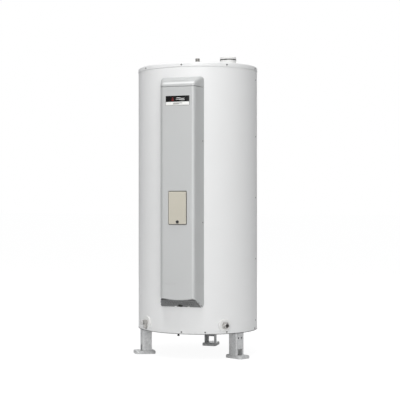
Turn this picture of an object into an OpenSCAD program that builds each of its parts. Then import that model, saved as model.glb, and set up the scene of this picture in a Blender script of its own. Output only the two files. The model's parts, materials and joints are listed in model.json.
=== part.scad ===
// Floor-standing electric tank water heater of the 370 litre class, on three legs.
// Frame: +Z up, origin on the tank's axis at floor level, the front cover faces -Y.
// A bearing is the angle round the tank from the front, positive towards +X.
// Each fitting on the round wall is drawn in its own frame, in which outwards is -Y.

/* [Body] */
// Outer diameter of the casing
body_d = 700; // [690:5:710]
// Height of the casing, from the base pan to the top cap
body_h = 1534; // [1534:1:1560]
// Height of the legs
leg_h = 145; // [140:1:160]
// Thickness of the casing sheet
sheet_t = 1.2; // [0.8:0.1:1.2]
// Height of the top cap's skirt
skirt_h = 24; // [22:1:30]

/* [Tank] */
// Outer diameter of the stainless tank
tank_d = 592; // [584:2:592]
// Wall of the tank
tank_t = 1.5; // [1:0.1:2]
// Bearing of the cold inlet, and of the drain tap on the other side
pipe_bearing = 40.4; // [40:0.1:41]
// Height of the inlet and drain axes
pipe_z = 195.4; // [195:0.1:196]

/* [Front cover] */
// Distance from the tank's axis to the cover's front face
cover_y = 430; // [428:1:436]
// Width of the cover where it meets the casing
cover_w = 251; // [248:1:254]
// Wall of the cover
cover_t = 2.5; // [2:0.1:2.8]
// Height of the cover's bottom edge
cover_z0 = 301; // [300:1:303]
// Height of the seam between lower and main cover
cover_z1 = 435; // [433:1:437]
// Height of the seam between main cover and top piece
cover_z2 = 1535; // [1530:1:1540]
// Height of the cover's top edge
cover_z3 = 1591; // [1589:1:1593]

/* [Control window] */
// Width of the window opening
window_w = 107; // [106:1:108]
// Height of the window opening
window_h = 189; // [188:1:190]
// Height of the window's centre
window_z = 858; // [850:1:866]

/* [Legs] */
// Width of the leg channel
leg_w = 64; // [62:1:66]
// Depth of the leg channel
leg_depth = 56; // [54:1:58]
// Thickness of the leg steel
leg_t = 3.2; // [3:0.1:3.6]
// Distance from the tank's axis to the leg's outer face
leg_r = 341; // [340:1:342]

/* [Hidden] */
$fn = 64;

body_r = body_d / 2;
body_z0 = leg_h;
body_z1 = leg_h + body_h;
tank_r = tank_d / 2;
fit = 0.3;                      // clearance between curved faces that lie against each other
over = 1;                       // how far a cut runs past the face it opens

white_paint = [0.93, 0.93, 0.92];
grey_paint = [0.77, 0.78, 0.78];
zinc = [0.62, 0.63, 0.63];
stainless = [0.70, 0.70, 0.69];
brass = [0.78, 0.70, 0.52];
black = [0.08, 0.08, 0.08];
foam = [0.90, 0.86, 0.76];

// ---------------------------------------------------------------- shared shapes

// Points of an arc about c, from angle a0 to a1
function arc(c, r, a0, a1, n) = [
    for (i = [0:n])
        let (a = a0 + (a1 - a0) * i / n)
        c + r * [cos(a), sin(a)]
];

// Stands its children on the round wall at bearing b, radius r and height z
module on_wall(b, r, z) {
    rotate([0, 0, b]) translate([0, -r, z]) children();
}

// A rod along -Y from distance p0 to p1 in front of the local origin
module rod(r, p0, p1) {
    translate([0, -p0, 0]) rotate([90, 0, 0]) cylinder(r = r, h = p1 - p0);
}

// A hexagon bar along -Y, sized by its width across flats
module hex_rod(flats, p0, p1) {
    translate([0, -p0, 0]) rotate([90, 0, 0]) cylinder(d = flats / cos(30), h = p1 - p0, $fn = 6);
}

module tube(ro, ri, z0, z1) {
    difference() {
        translate([0, 0, z0]) cylinder(r = ro, h = z1 - z0, $fn = 180);
        translate([0, 0, z0 - over]) cylinder(r = ri, h = z1 - z0 + 2 * over, $fn = 180);
    }
}

// A rectangle with true round corners
module round_rect(w, h, r) {
    square([w - 2 * r, h], center = true);
    square([w, h - 2 * r], center = true);
    for (x = [-1, 1], y = [-1, 1]) translate([x * (w / 2 - r), y * (h / 2 - r)]) circle(r = r);
}

// A plate in the XZ plane with round corners, from distance p0 to p1 in front of the local origin
module round_plate(w, h, r, p0, p1) {
    translate([0, -p0, 0]) rotate([90, 0, 0]) linear_extrude(p1 - p0) round_rect(w, h, r);
}

// A pan-head screw whose head rests on the local origin's plane and faces -Y
module pan_screw(head_r, head_h, shank_r, shank_l) {
    rod(head_r, 0, head_h);
    rod(shank_r, -shank_l, 0.01);
}

function unit(v) = v / norm(v);
// A smooth curve through the points: each span is a cubic whose end slopes follow its neighbours
function at(p, i) = p[max(0, min(len(p) - 1, i))];
function curve(p, n) = [
    for (i = [0:len(p) - 2], k = [0:n - 1])
        let (t = k / n, a = at(p, i - 1), b = p[i], c = p[i + 1], d = at(p, i + 2))
        b + (c - a) * t / 2 + (2 * a - 5 * b + 4 * c - d) * t * t / 2
            + (3 * b - a - 3 * c + d) * t * t * t / 2,
    at(p, len(p))
];

// A wire or thin pipe through the points: rings of a few sides, square to its run
module wire(p, r, sides = 8) {
    last = len(p) - 1;
    rings = [
        for (i = [0:last], k = [0:sides - 1])
            let (
                t = unit(at(p, i + 1) - at(p, i - 1)),
                u = unit(cross(t, [1, 1, -1])),
                v = cross(t, u),
                a = 360 * k / sides
            )
            p[i] + r * (cos(a) * u + sin(a) * v)
    ];
    walls = [for (i = [0:last - 1], k = [0:sides - 1])
        let (a = i * sides + k, b = i * sides + (k + 1) % sides) [a, a + sides, b + sides, b]];
    start = [for (k = [0:sides - 1]) k];
    end = [for (k = [sides - 1:-1:0]) last * sides + k];
    polyhedron(rings, concat([start], walls, [end]));
}

// ---------------------------------------------------------------- casing

case_z0 = body_z0 + 3;
case_z1 = body_z1 - 8.5;          // just below the bend of the top cap
cap_r = body_r + sheet_t + 0.2;
rim_bearings = [-129, -86, -43, 0, 43, 86, 129, 180];
base_bearings = [-129, -86, -43, 0, 22, 43, 86, 129, 180];
seam_z = [202, 560, 915, 1270, 1600];
seam_bearings = [-89, 89];
cap_screw_z = body_z1 - 14;
rim_screw_z = body_z0 + 12;
shank_r = 2;

relief_x = 185;                 // the relief valve stands at [relief_x, 0]
lower_heater_z = 420;
upper_heater_z = 1330;
limit_z = 640;
service_r = 66;                 // holes in the casing in front of each heater

module screw_holes(bearings, r, z) {
    for (b = bearings) on_wall(b, r, z) rod(shank_r + 0.15, -10, 5);
}

module seam_screw_places() {
    for (b = seam_bearings, z = seam_z) on_wall(b, body_r, z) children();
}

module casing_sheet() {
    difference() {
        tube(body_r, body_r - sheet_t, case_z0, case_z1);
        screw_holes(rim_bearings, body_r, cap_screw_z);
        screw_holes(base_bearings, body_r, rim_screw_z);
        seam_screw_places() rod(shank_r + 0.15, -5, 5);
    }
}

module casing_front() color(white_paint) difference() {
    casing_sheet();
    translate([-body_r - over, -0.2, 0]) cube([body_d + 2 * over, body_r + over, body_z1]);
    for (b = [-pipe_bearing, pipe_bearing]) on_wall(b, body_r, pipe_z) rod(17, -20, 5);
    for (z = [lower_heater_z, upper_heater_z]) on_wall(0, body_r, z) rod(service_r, -20, 5);
    on_wall(0, body_r, limit_z) rod(30, -20, 5);
    on_wall(0, body_r, limit_z) for (x = [-60, 60]) translate([x, 0, 0]) rod(10, -20, 12);
}

// The rear half carries the strips that lap under the front half at both seams
module casing_rear() color(white_paint) {
    lap = asin(20 / body_r);
    difference() {
        casing_sheet();
            translate([-body_r - over, -body_r - over, 0])
                cube([body_d + 2 * over, body_r + over + 0.2, body_z1]);
    }
    for (s = [-1, 1]) rotate([0, 0, s * 90]) difference() {
        union() {
            intersection() {
                tube(body_r - sheet_t + 0.05, body_r - 2 * sheet_t - 0.2, body_z0 + 30, case_z1 - 20);
                on_wall(s * lap / 2 + s * 0.1, body_r, 0) translate([-10, -5, 0]) cube([20, 20, body_z1]);
            }
            intersection() {
                tube(body_r - sheet_t - 0.2, body_r - 2 * sheet_t - 0.2, body_z0 + 30, case_z1 - 20);
                on_wall(s * (0.2 - lap / 2), body_r, 0) translate([-10, -5, 0]) cube([20.5, 20, body_z1]);
            }
        }
        for (z = seam_z) on_wall(-s, body_r, z) rod(shank_r + 0.15, -5, 5);
    }
}

// Section of the top cap: flat on top, a rounded edge and a straight skirt
module cap_section(r, z0, z1, edge) {
    translate([0, z0]) square([r, z1 - z0 - edge]);
    translate([0, z0]) square([r - edge, z1 - z0]);
    translate([r - edge, z1 - edge]) circle(r = edge);
}

module top_cap() color(white_paint) difference() {
    rotate_extrude($fn = 180) difference() {
        cap_section(cap_r, body_z1 - skirt_h, body_z1, 8);
        cap_section(cap_r - sheet_t, body_z1 - skirt_h - 20, body_z1 - sheet_t, 8 - sheet_t);
        translate([-20, body_z1 - 50]) square([20, 60]);
    }
    translate([0, 0, body_z1 - 10]) cylinder(r = 19, h = 20);
    translate([relief_x, 0, body_z1 - 10]) cylinder(r = 41, h = 20);
    screw_holes(rim_bearings, cap_r, cap_screw_z);
}

module base_pan() color(zinc) difference() {
    union() {
        translate([0, 0, body_z0]) cylinder(r = body_r + 0.8, h = 2, $fn = 180);
        tube(body_r - sheet_t - fit, body_r - sheet_t - fit - 1.5, body_z0 + 1, body_z0 + 26);
    }
    leg_bolt_places() cylinder(r = 6.5, h = 60, center = true);
    screw_holes(base_bearings, body_r, rim_screw_z);
    translate([nozzle_at[0], nozzle_at[1], body_z0 - 5]) cylinder(r = 6.3, h = 20);
}

module cap_screws() color(zinc)
    for (b = rim_bearings) on_wall(b, cap_r, cap_screw_z) pan_screw(4.6, 2.6, shank_r, 6);

module rim_screws() color(zinc)
    for (b = base_bearings) on_wall(b, body_r, rim_screw_z) pan_screw(4.6, 2.6, shank_r, 6);

module seam_screws() color(zinc)
    seam_screw_places() pan_screw(3.6, 1.8, shank_r, 4);

// ---------------------------------------------------------------- legs

foot_h = 18;
foot_w = 86;
foot_out = 42;                  // how far the foot reaches in front of the leg
foot_in = 23;                   // and behind the leg's open side
anchor_r = leg_r + 19;
leg_bearings = [-60, 60, 180];
bolt_r = 258;                   // radius of the bolts that hold the legs to the tank ring
bolt_gap = 40;
plate_t = 4;

module leg_bolt_places() {
    for (b = leg_bearings, x = [-bolt_gap / 2, bolt_gap / 2])
        on_wall(b, bolt_r, body_z0) translate([x, 0, 0]) children();
}

// A pressed foot: a plate with a turned-down rim, and a spacer round the anchor hole
module foot() {
    l = foot_out + leg_depth + foot_in;
    mid = -leg_r - foot_out + l / 2;
    difference() {
        translate([0, mid, 0]) linear_extrude(foot_h) round_rect(foot_w, l, 18);
        translate([0, mid, -over]) linear_extrude(foot_h - leg_t + over)
            round_rect(foot_w - 2 * leg_t, l - 2 * leg_t, 18 - leg_t);
    }
    translate([0, -anchor_r, 0]) cylinder(r = 13, h = foot_h - 1);
}

leg_bend = 5;                   // outer radius of the channel's bends

// Plan of the channel, filled and drawn in by t, with its two bends and its open side towards the axis
module channel_plan(t) {
    w = leg_w - 2 * t;
    y = -leg_r + t;
    r = leg_bend - t;
    translate([-w / 2 + r, y]) square([w - 2 * r, leg_depth]);
    translate([-w / 2, y + r]) square([w, leg_depth - r]);
    for (s = [-1, 1]) translate([s * (w / 2 - r), y + r]) circle(r = r);
}

// One leg at the front: an open channel on its foot, with a top plate that bolts to the tank ring
module leg() {
    channel_h = body_z0 - plate_t - foot_h;
    difference() {
        union() {
            foot();
            translate([0, 0, foot_h - over]) linear_extrude(channel_h + over) channel_plan(0);
            translate([-leg_w / 2, -leg_r, body_z0 - plate_t]) cube([leg_w, leg_r - bolt_r + 22, plate_t]);
        }
        translate([0, 0, foot_h]) linear_extrude(channel_h) channel_plan(leg_t);
        translate([-17.5, -leg_r - over, foot_h]) cube([35, leg_t + 2 * over, 33]);
        for (x = [-12.5, 12.5]) translate([x, -leg_r, body_z0 - 29.4]) rod(6, -5, 5);
        translate([0, -anchor_r, -over]) cylinder(r = 7, h = foot_h + 2 * over);
        for (x = [-bolt_gap / 2, bolt_gap / 2])
            translate([x, -bolt_r, body_z0]) cylinder(r = 6.5, h = 20, center = true);
    }
}

module leg_front_left() color(zinc) rotate([0, 0, leg_bearings[0]]) leg();
module leg_front_right() color(zinc) rotate([0, 0, leg_bearings[1]]) leg();
module leg_rear() color(zinc) rotate([0, 0, leg_bearings[2]]) leg();

module leg_bolts() color(stainless) leg_bolt_places() {
    translate([0, 0, -plate_t - 7]) cylinder(d = 18 / cos(30), h = 7, $fn = 6);
    translate([0, 0, -plate_t - 0.01]) cylinder(r = 6, h = plate_t + 22);
}

module leg_nuts() color(stainless) leg_bolt_places() difference() {
    translate([0, 0, 6]) cylinder(d = 18 / cos(30), h = 9, $fn = 6);
    translate([0, 0, 5]) cylinder(r = 6.05, h = 12);
}

// ---------------------------------------------------------------- tank and insulation

shell_z0 = body_z0 + 155;       // where the straight shell begins and ends
shell_z1 = body_z1 - 164;
crown_r = 560;
knuckle_r = 60;
crown_drop = sqrt(pow(crown_r - knuckle_r, 2) - pow(tank_r - knuckle_r, 2));
knuckle_a = atan2(crown_drop, tank_r - knuckle_r);
port_r = 205;                   // radius at which the inlet and drain pipes rise into the tank

// Half outline of the tank, drawn in by t: two dished heads and a straight shell
function tank_outline(t) = concat(
    arc([0, shell_z0 + crown_drop], crown_r - t, -90, -knuckle_a, 16),
    arc([tank_r - knuckle_r, shell_z0], knuckle_r - t, -knuckle_a, 0, 6),
    arc([tank_r - knuckle_r, shell_z1], knuckle_r - t, 0, knuckle_a, 6),
    arc([0, shell_z1 - crown_drop], crown_r - t, knuckle_a, 90, 16)
);

module tank_solid(t) {
    rotate_extrude($fn = 180) polygon(tank_outline(t));
}

neck_y = body_r - 32;           // front face of the heater necks

module tank_shell() color(stainless) {
    difference() {
        union() {
            tank_solid(0);
            for (z = [lower_heater_z, upper_heater_z]) on_wall(0, 0, z) {
                rod(46, tank_r - 30, neck_y);
                rod(60, neck_y - 6, neck_y);
            }
        }
        tank_solid(tank_t);
        for (z = [lower_heater_z, upper_heater_z]) on_wall(0, 0, z) rod(43, tank_r - 40, neck_y + over);
        for (b = [-pipe_bearing, pipe_bearing])
            on_wall(b, port_r, shell_z0 - 100) cylinder(r = 11.3, h = 60);
        translate([0, 0, shell_z1]) cylinder(r = 13.5, h = 150);
        translate([relief_x, 0, shell_z1]) cylinder(r = 10.3, h = 150);
    }
}

module tank_ring() color(zinc) difference() {
    union() {
        tube(245, 241, body_z0 + 2, shell_z0);
        tube(276, 241, body_z0 + 2, body_z0 + 6);
    }
    tank_solid(-0.1);
    leg_bolt_places() cylinder(r = 6.5, h = 60, center = true);
    for (b = [-pipe_bearing, pipe_bearing]) on_wall(b, body_r, pipe_z) rod(14, -130, 0);
}

module pipe_paths(r) {
    for (b = [-pipe_bearing, pipe_bearing]) rotate([0, 0, b]) {
        translate([0, 0, pipe_z]) rod(r, port_r - r, body_r + 5);
        translate([0, -port_r, pipe_z]) cylinder(r = r, h = 60);
    }
}

module insulation_base() color(foam) difference() {
    translate([0, 0, body_z0 + 31]) cylinder(r = body_r - 5, h = shell_z0 - body_z0 - 31, $fn = 180);
    tank_solid(-0.5);
    tube(246, 240, body_z0, shell_z0 - 20);
    pipe_paths(20);
    translate([overflow_r, 0, body_z0]) cylinder(r = 8, h = 200);
}

module insulation_side() color(foam) difference() {
    tube(body_r - 5, tank_r + 1, shell_z0 + 0.5, shell_z1);
    for (z = [lower_heater_z, upper_heater_z]) on_wall(0, 0, z) rod(service_r, tank_r - 10, body_r);
    on_wall(0, 0, limit_z) rod(30, tank_r - 10, body_r);
    translate([overflow_r, 0, shell_z0 - 10]) cylinder(r = 8, h = body_h);
}

module insulation_top() color(foam) difference() {
    translate([0, 0, shell_z1 + 0.5]) cylinder(r = body_r - 5, h = body_z1 - 24 - shell_z1, $fn = 180);
    tank_solid(-0.5);
    translate([0, 0, shell_z1]) cylinder(r = 23, h = 200);
    translate([relief_x, 0, shell_z1]) cylinder(r = 22, h = 200);
    translate([relief_x, -9, overflow_z - 9]) cube([overflow_r - relief_x, 18, 110]);
    translate([overflow_r, 0, shell_z1 - 10]) cylinder(r = 8, h = 200);
}

// ---------------------------------------------------------------- cold inlet

thread_r = 13.2;                // three-quarter inch pipe thread, over its crests
bore_r = 9.5;
stub_l = 38;                    // how far the inlet stands out of the casing

// A dished cover plate that closes the hole in the casing round a pipe
module escutcheon(hole_r) color(white_paint) difference() {
    translate([0, 4, 0]) rotate([90, 0, 0]) rotate_extrude($fn = 96) difference() {
        polygon(concat([[0, 0], [37, 0], [37, 6]], arc([32, 6.5], 5, 0, 90, 6), [[24, 11.8], [0, 11.8]]));
        translate([0, -over]) square([hole_r, 30]);
        polygon(concat(
            [[0, -over], [34.5, -over], [34.5, 6]],
            arc([31.5, 6.3], 3, 0, 90, 6),
            [[24, 9.4], [0, 9.4]]
        ));
    }
    translate([0, body_r, -60]) cylinder(r = body_r + 0.1, h = 120, $fn = 180);
}

module inlet_escutcheon() on_wall(pipe_bearing, body_r, pipe_z) escutcheon(thread_r + 0.3);

module inlet_fitting() color(brass) on_wall(pipe_bearing, body_r, pipe_z) difference() {
    union() {
        rod(thread_r, -22, stub_l);
        hex_rod(36, 8.2, 24);
    }
    rod(bore_r, -23, stub_l + over);
}

pipe_bend = 22;
pipe_r = 11;
pipe_wall = 1.2;

// The pipe under the tank: in from the wall, then up through the bottom head. Its bore runs past by e
// at each end
function bottom_path(top_z, e) = concat(
    [[0, -body_r + 22.2 - e, pipe_z]],
    [for (q = arc([-port_r - pipe_bend, pipe_z + pipe_bend], pipe_bend, -90, 0, 8)) [0, q[0], q[1]]],
    [[0, -port_r, top_z + e]]
);

module bottom_pipe(top_z) {
    difference() {
        wire(bottom_path(top_z, 0), pipe_r, 24);
        wire(bottom_path(top_z, over), pipe_r - pipe_wall, 24);
    }
}

module inlet_pipe() color(stainless) rotate([0, 0, pipe_bearing]) bottom_pipe(shell_z0 - 20);

// Spreads the cold water sideways so that it stays under the hot
module inlet_diffuser() color(stainless) on_wall(pipe_bearing, port_r, shell_z0 - 32) difference() {
    union() {
        cylinder(r = 13, h = 26);
        translate([0, 0, 23]) cylinder(r = 48, h = 3);
    }
    translate([0, 0, -over]) cylinder(r = 11.2, h = 24);
    for (a = [0:45:315]) rotate([0, 0, a]) translate([0, 0, 17.5]) rod(3, 8, 16);
}

// ---------------------------------------------------------------- drain tap

seat_p = 10.5;                  // distance of the valve seat from the casing
knob_p = 36;
knob_r = 14;
spout_p = 17.5;

module on_drain() on_wall(-pipe_bearing, body_r, pipe_z) children();

module drain_escutcheon() on_drain() escutcheon(13.4);

module drain_body() color(brass) on_drain() difference() {
    union() {
        rod(13, -22, 27);
        translate([0, -spout_p, -34]) cylinder(r = 8, h = 30);
        translate([0, -spout_p, -34]) cylinder(r = 9.2, h = 3);
        translate([0, -spout_p, -28]) cylinder(r = 9.2, h = 3);
    }
    rod(9.5, -23, seat_p - 2.5);
    rod(5, -5, seat_p + 1);
    rod(9, seat_p, 28);
    translate([0, -spout_p, -35]) cylinder(r = 5.5, h = 33);
}

module drain_bonnet() color(brass) on_drain() difference() {
    union() {
        hex_rod(25, 27, 33);
        rod(8.8, 20, 27.01);
    }
    rod(5.06, 19, 34);
}

jumper_r = 2.8;                 // the jumper's stem runs in a blind bore of the spindle

module drain_jumper() color(brass) on_drain() {
    rod(7.5, seat_p + 0.1, seat_p + 3);
    rod(jumper_r, seat_p + 2.99, seat_p + 11);
}

module drain_spindle() color(brass) on_drain() difference() {
    rod(5, seat_p + 7.5, knob_p + 6);
    rod(jumper_r + 0.07, seat_p + 6.5, seat_p + 15.5);
}

// A five-lobed knob with a blind bore for the spindle
module drain_knob() color(grey_paint) on_drain() difference() {
    union() {
        translate([0, -knob_p, 0]) rotate([90, 0, 0]) linear_extrude(10) {
            circle(r = knob_r - 2.8);
            for (a = [18:72:306]) rotate(a) translate([knob_r - 4.2, 0]) circle(r = 4.2);
        }
        rod(7, knob_p - 2.5, knob_p + 0.01);
    }
    rod(5.02, knob_p - 3, knob_p + 6.05);
}

module drain_pipe() color(stainless) rotate([0, 0, -pipe_bearing]) bottom_pipe(shell_z0 - 72);

// ---------------------------------------------------------------- hot outlet, on the tank's axis

outlet_top = body_z1 + 63;
dome_z = shell_z1 - crown_drop + crown_r;

module outlet_escutcheon() color(white_paint)
translate([0, 0, body_z1]) rotate_extrude($fn = 96) difference() {
    polygon(concat([[0, 0], [36, 0], [36, 2]], arc([32, 2], 4, 0, 90, 6), [[0, 6]]));
    translate([0, -over]) square([thread_r + 0.3, 20]);
    polygon([[0, -over], [33, -over], [33, 2], [31, 4], [0, 4]]);
}

module outlet_fitting() color(brass) difference() {
    union() {
        translate([0, 0, dome_z - 6]) cylinder(r = thread_r, h = outlet_top - dome_z + 6);
        translate([0, 0, dome_z + 0.1]) cylinder(r = 21, h = 5);
        translate([0, 0, body_z1 + 6.5]) cylinder(d = 36 / cos(30), h = 14, $fn = 6);
    }
    translate([0, 0, dome_z - 7]) cylinder(r = bore_r, h = outlet_top);
}

// ---------------------------------------------------------------- relief valve, under its lidded turret

valve_z0 = dome_z - 26;         // lower end of the valve, in the tank's top head
bonnet_z = body_z1 + 17;        // face that the lever's cam bears on
pin_z = bonnet_z + 5;           // lever pin when the valve is shut
seat_z = valve_z0 + 22;
overflow_z = valve_z0 + 38;     // axis of the discharge branch
overflow_r = 322;
overflow_low_z = body_z0 + 20;
overflow_bend = 14;
overflow_end_a = -92;           // bearing, from +X, at which the run round the casing ends
nozzle_bend = 10;
run_end = [overflow_r * cos(overflow_end_a), overflow_r * sin(overflow_end_a) - overflow_bend];
nozzle_at = run_end + nozzle_bend * [cos(overflow_end_a - 90), sin(overflow_end_a - 90)];
turret_r = 47.5;
turret_h = 42;
gasket_h = 6;
lid_z = body_z1 + turret_h + gasket_h;
lid_h = 14;
hinge_y = turret_r + 5;
hinge_z = lid_z + 3;

module on_relief() translate([relief_x, 0, 0]) children();

module relief_body() color(brass) on_relief() difference() {
    union() {
        translate([0, 0, valve_z0 - 20]) cylinder(r = 10, h = 30);
        translate([0, 0, valve_z0 + 8]) cylinder(r = 15, h = bonnet_z - valve_z0 - 8);
        translate([0, 0, overflow_z]) rotate([0, 90, 0]) cylinder(r = 8, h = 26);
    }
    translate([0, 0, valve_z0 - 21]) cylinder(r = 6.5, h = 60);
    translate([0, 0, seat_z]) cylinder(r = 11, h = bonnet_z - 6 - seat_z);
    translate([0, 0, bonnet_z - 7]) cylinder(r = 3.3, h = 20);
    translate([0, 0, overflow_z]) rotate([0, 90, 0]) cylinder(r = 5.2, h = 40);
}

module relief_stem() color(stainless) on_relief() difference() {
    union() {
        translate([0, 0, seat_z + 0.1]) cylinder(r = 9, h = 5);
        translate([0, 0, seat_z + 5]) cylinder(r = 3, h = pin_z - 9.4 - seat_z - 5);
        intersection() {
            translate([0, 2, pin_z]) rod(4.2, 0, 4);
            translate([-3, -5, pin_z - 6]) cube([6, 10, 12]);
        }
        translate([0, 0, pin_z - 10]) cylinder(r = 2, h = 6);
        translate([-3, -2, pin_z - 5]) cube([6, 4, 3]);
    }
    translate([0, 10, pin_z]) rod(1.6, 0, 20);
}

// Closed coils along the stem: one swept tube
spring_r = 6.6;
spring_turns = 6;
spring_steps = 16;
spring_sides = 8;
spring_z0 = seat_z + 6.2;
spring_z1 = bonnet_z - 7.2;
spring_n = spring_turns * spring_steps;

module relief_spring() color(stainless) on_relief() {
    points = [for (i = [0:spring_n], k = [0:spring_sides - 1])
        let (a = 360 * i / spring_steps, s = 360 * k / spring_sides, r = spring_r + cos(s))
        [r * cos(a), r * sin(a), spring_z0 + (spring_z1 - spring_z0) * i / spring_n + sin(s)]];
    sides = [for (i = [0:spring_n - 1], k = [0:spring_sides - 1])
        let (a = i * spring_sides + k, b = i * spring_sides + (k + 1) % spring_sides)
        [a, a + spring_sides, b + spring_sides, b]];
    start = [for (k = [0:spring_sides - 1]) k];
    end = [for (k = [spring_sides - 1:-1:0]) spring_n * spring_sides + k];
    polyhedron(points, concat([start], sides, [end]));
}

// The lever's round cam is set 4 mm off the pin, so that a quarter turn lifts the stem by 4 mm
module relief_lever() color(stainless) on_relief() translate([0, 0, pin_z]) {
    difference() {
        union() {
            translate([0, 4.5, 4]) rod(9, 0, 9);
            translate([-32, -4.5, 5]) cube([28, 9, 3]);
        }
        translate([-20, -2.2, -6]) cube([40, 4.4, 13.5]);
    }
    translate([0, 5.2, 0]) rod(1.5, 0, 10.4);
}

module relief_turret() color(white_paint) on_relief() {
    tube(turret_r, turret_r - 3, body_z1 + 0.1, body_z1 + turret_h);
    difference() {
        union() {
            for (x = [-16, 7]) translate([x, 0, 0]) {
                translate([0, hinge_y, hinge_z]) rotate([0, 90, 0]) cylinder(r = 4, h = 9, $fn = 32);
                translate([0, turret_r - 2, hinge_z - 18]) cube([9, 5, 8.8]);
                translate([0, hinge_y - 4, hinge_z - 16]) cube([9, 8, 16]);
            }
        }
        translate([-20, hinge_y, hinge_z]) rotate([0, 90, 0]) cylinder(r = 1.6, h = 40, $fn = 32);
    }
}

module relief_gasket() color(black) on_relief()
    tube(turret_r + 0.3, turret_r - 3, body_z1 + turret_h, lid_z - 0.2);

module relief_lid() color(white_paint) on_relief() {
    difference() {
        union() {
            rotate_extrude($fn = 128) difference() {
                cap_section(turret_r, lid_z, lid_z + lid_h, 6);
                cap_section(turret_r - 2, lid_z - 20, lid_z + lid_h - 2, 4);
                translate([-60, 0]) square([60, 3000]);
            }
            translate([-6, hinge_y, hinge_z]) rotate([0, 90, 0]) cylinder(r = 4, h = 12, $fn = 32);
            translate([-6, turret_r - 2, hinge_z - 2]) cube([12, 6, 5]);
        }
        translate([-20, hinge_y, hinge_z]) rotate([0, 90, 0]) cylinder(r = 1.5, h = 40, $fn = 32);
    }
    translate([-16, hinge_y, hinge_z]) rotate([0, 90, 0]) cylinder(r = 1.5, h = 32, $fn = 32);
    translate([-9, -turret_r - 5, lid_z + 1]) cube([18, 6.5, 3]);
}

// From the valve's side branch, down inside the casing, round to the front and out through the base
overflow_path = concat(
    [[relief_x + 26.2, 0, overflow_z]],
    [for (q = arc([overflow_r - overflow_bend, overflow_z - overflow_bend], overflow_bend, 90, 0, 5))
        [q[0], 0, q[1]]],
    [for (q = arc([-overflow_bend, overflow_low_z + overflow_bend], overflow_bend, 0, -90, 5))
        [overflow_r, q[0], q[1]]],
    [for (q = arc([0, -overflow_bend], overflow_r, -4, overflow_end_a, 22)) [q[0], q[1], overflow_low_z]],
    [for (q = arc([0, overflow_low_z - nozzle_bend], nozzle_bend, 72, 0, 4))
        [for (k = [0:1]) run_end[k] + (nozzle_at[k] - run_end[k]) * q[0] / nozzle_bend, q[1]]],
    [[nozzle_at[0], nozzle_at[1], body_z0 + 8.2]]
);

module overflow_pipe() color(stainless) wire(overflow_path, 5, 12);

module overflow_nozzle() color(black) translate([nozzle_at[0], nozzle_at[1], 0]) difference() {
    union() {
        translate([0, 0, body_z0 - 12]) cylinder(r = 6, h = 20);
        translate([0, 0, body_z0 + 2.2]) cylinder(r = 9, h = 3);
        translate([0, 0, body_z0 - 12]) cylinder(r = 7, h = 3);
    }
    translate([0, 0, body_z0 - 13]) cylinder(r = 4.2, h = 30);
}

// ---------------------------------------------------------------- front cover

corner_r = 22;
corner_x = 82;                  // centre of the cover's round front corners
corner_y = cover_y - corner_r;
foot_x = cover_w / 2;
foot_y = sqrt(pow(body_r, 2) - pow(foot_x, 2));
side_v = [foot_x - corner_x, corner_y - foot_y];
side_a = atan2(side_v[1], side_v[0]) + asin(corner_r / norm(side_v)) - 90;   // lean of the cover's sides
side_l = sqrt(pow(norm(side_v), 2) - pow(corner_r, 2));

// Where the side leaves the round corner, drawn in by t, and its far end a little behind the casing's skin
function side_start(t) = [corner_x, -corner_y] + (corner_r - t) * [cos(side_a), sin(side_a)];
function side_end(t) = side_start(t) + (side_l + 12) * [-sin(side_a), cos(side_a)];

// Plan of the cover, drawn in by t
module cover_plan(t) {
    a = side_start(t);
    b = side_end(t);
    polygon([[-corner_x, -cover_y + t], [corner_x, -cover_y + t], a, b, [-b[0], b[1]], [-a[0], a[1]]]);
    for (s = [-1, 1]) translate([s * corner_x, -corner_y]) circle(r = corner_r - t);
}

module cover_wall(z0, z1) {
    difference() {
        translate([0, 0, z0]) linear_extrude(z1 - z0) cover_plan(0);
        translate([0, 0, z0 - over]) linear_extrude(z1 - z0 + 2 * over) cover_plan(cover_t);
        translate([0, 0, z0 - over]) cylinder(r = body_r + fit, h = z1 - z0 + 2 * over, $fn = 180);
    }
}

// Side view of the sloped top, drawn in by t: the front face, a rounded brow and a slope up to the casing
brow_r = 16;
slope_a = 25;
function brow(t) = concat(
    [[-cover_y + t, cover_z2 - over]],
    arc([-cover_y + brow_r, cover_z2 + 12], brow_r - t, 180, 90 + slope_a, 8),
    [[-foot_y + 20, cover_z2 + 12 + (brow_r - t) / cos(slope_a)
        + tan(slope_a) * (cover_y - brow_r - foot_y + 20)], [-foot_y + 20, cover_z2 - over]]
);

// Front view of the top piece, drawn in by t: round upper corners
hood_r = 26;
function hood_outline(t) = concat(
    [[-foot_x - over + t, cover_z2 - over], [foot_x + over - t, cover_z2 - over]],
    arc([foot_x + over - hood_r, cover_z3 + 5 - hood_r], hood_r - t, 0, 90, 8),
    arc([-foot_x - over + hood_r, cover_z3 + 5 - hood_r], hood_r - t, 90, 180, 8)
);

module front_extrude(points) {
    rotate([90, 0, 0]) linear_extrude(500) polygon(points);
}

module side_extrude(points) {
    rotate([90, 0, 90]) translate([0, 0, -200]) linear_extrude(400) polygon(points);
}

module cover_top() color(grey_paint) difference() {
    intersection() {
        translate([0, 0, cover_z2 + 0.6]) linear_extrude(100) cover_plan(0);
        side_extrude(brow(0));
        front_extrude(hood_outline(0));
    }
    intersection() {
        translate([0, 0, cover_z2 - over]) linear_extrude(100) cover_plan(cover_t);
        side_extrude(brow(cover_t));
        front_extrude(hood_outline(cover_t));
    }
    translate([0, 0, cover_z2 - over]) cylinder(r = body_r + fit, h = 200, $fn = 180);
}

cover_screw_z = [775, 1232];
cover_screw_s = 0.83;           // how far back along the side the screws sit
low_screws = [[0.62, 310], [0.33, 327]];

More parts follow.
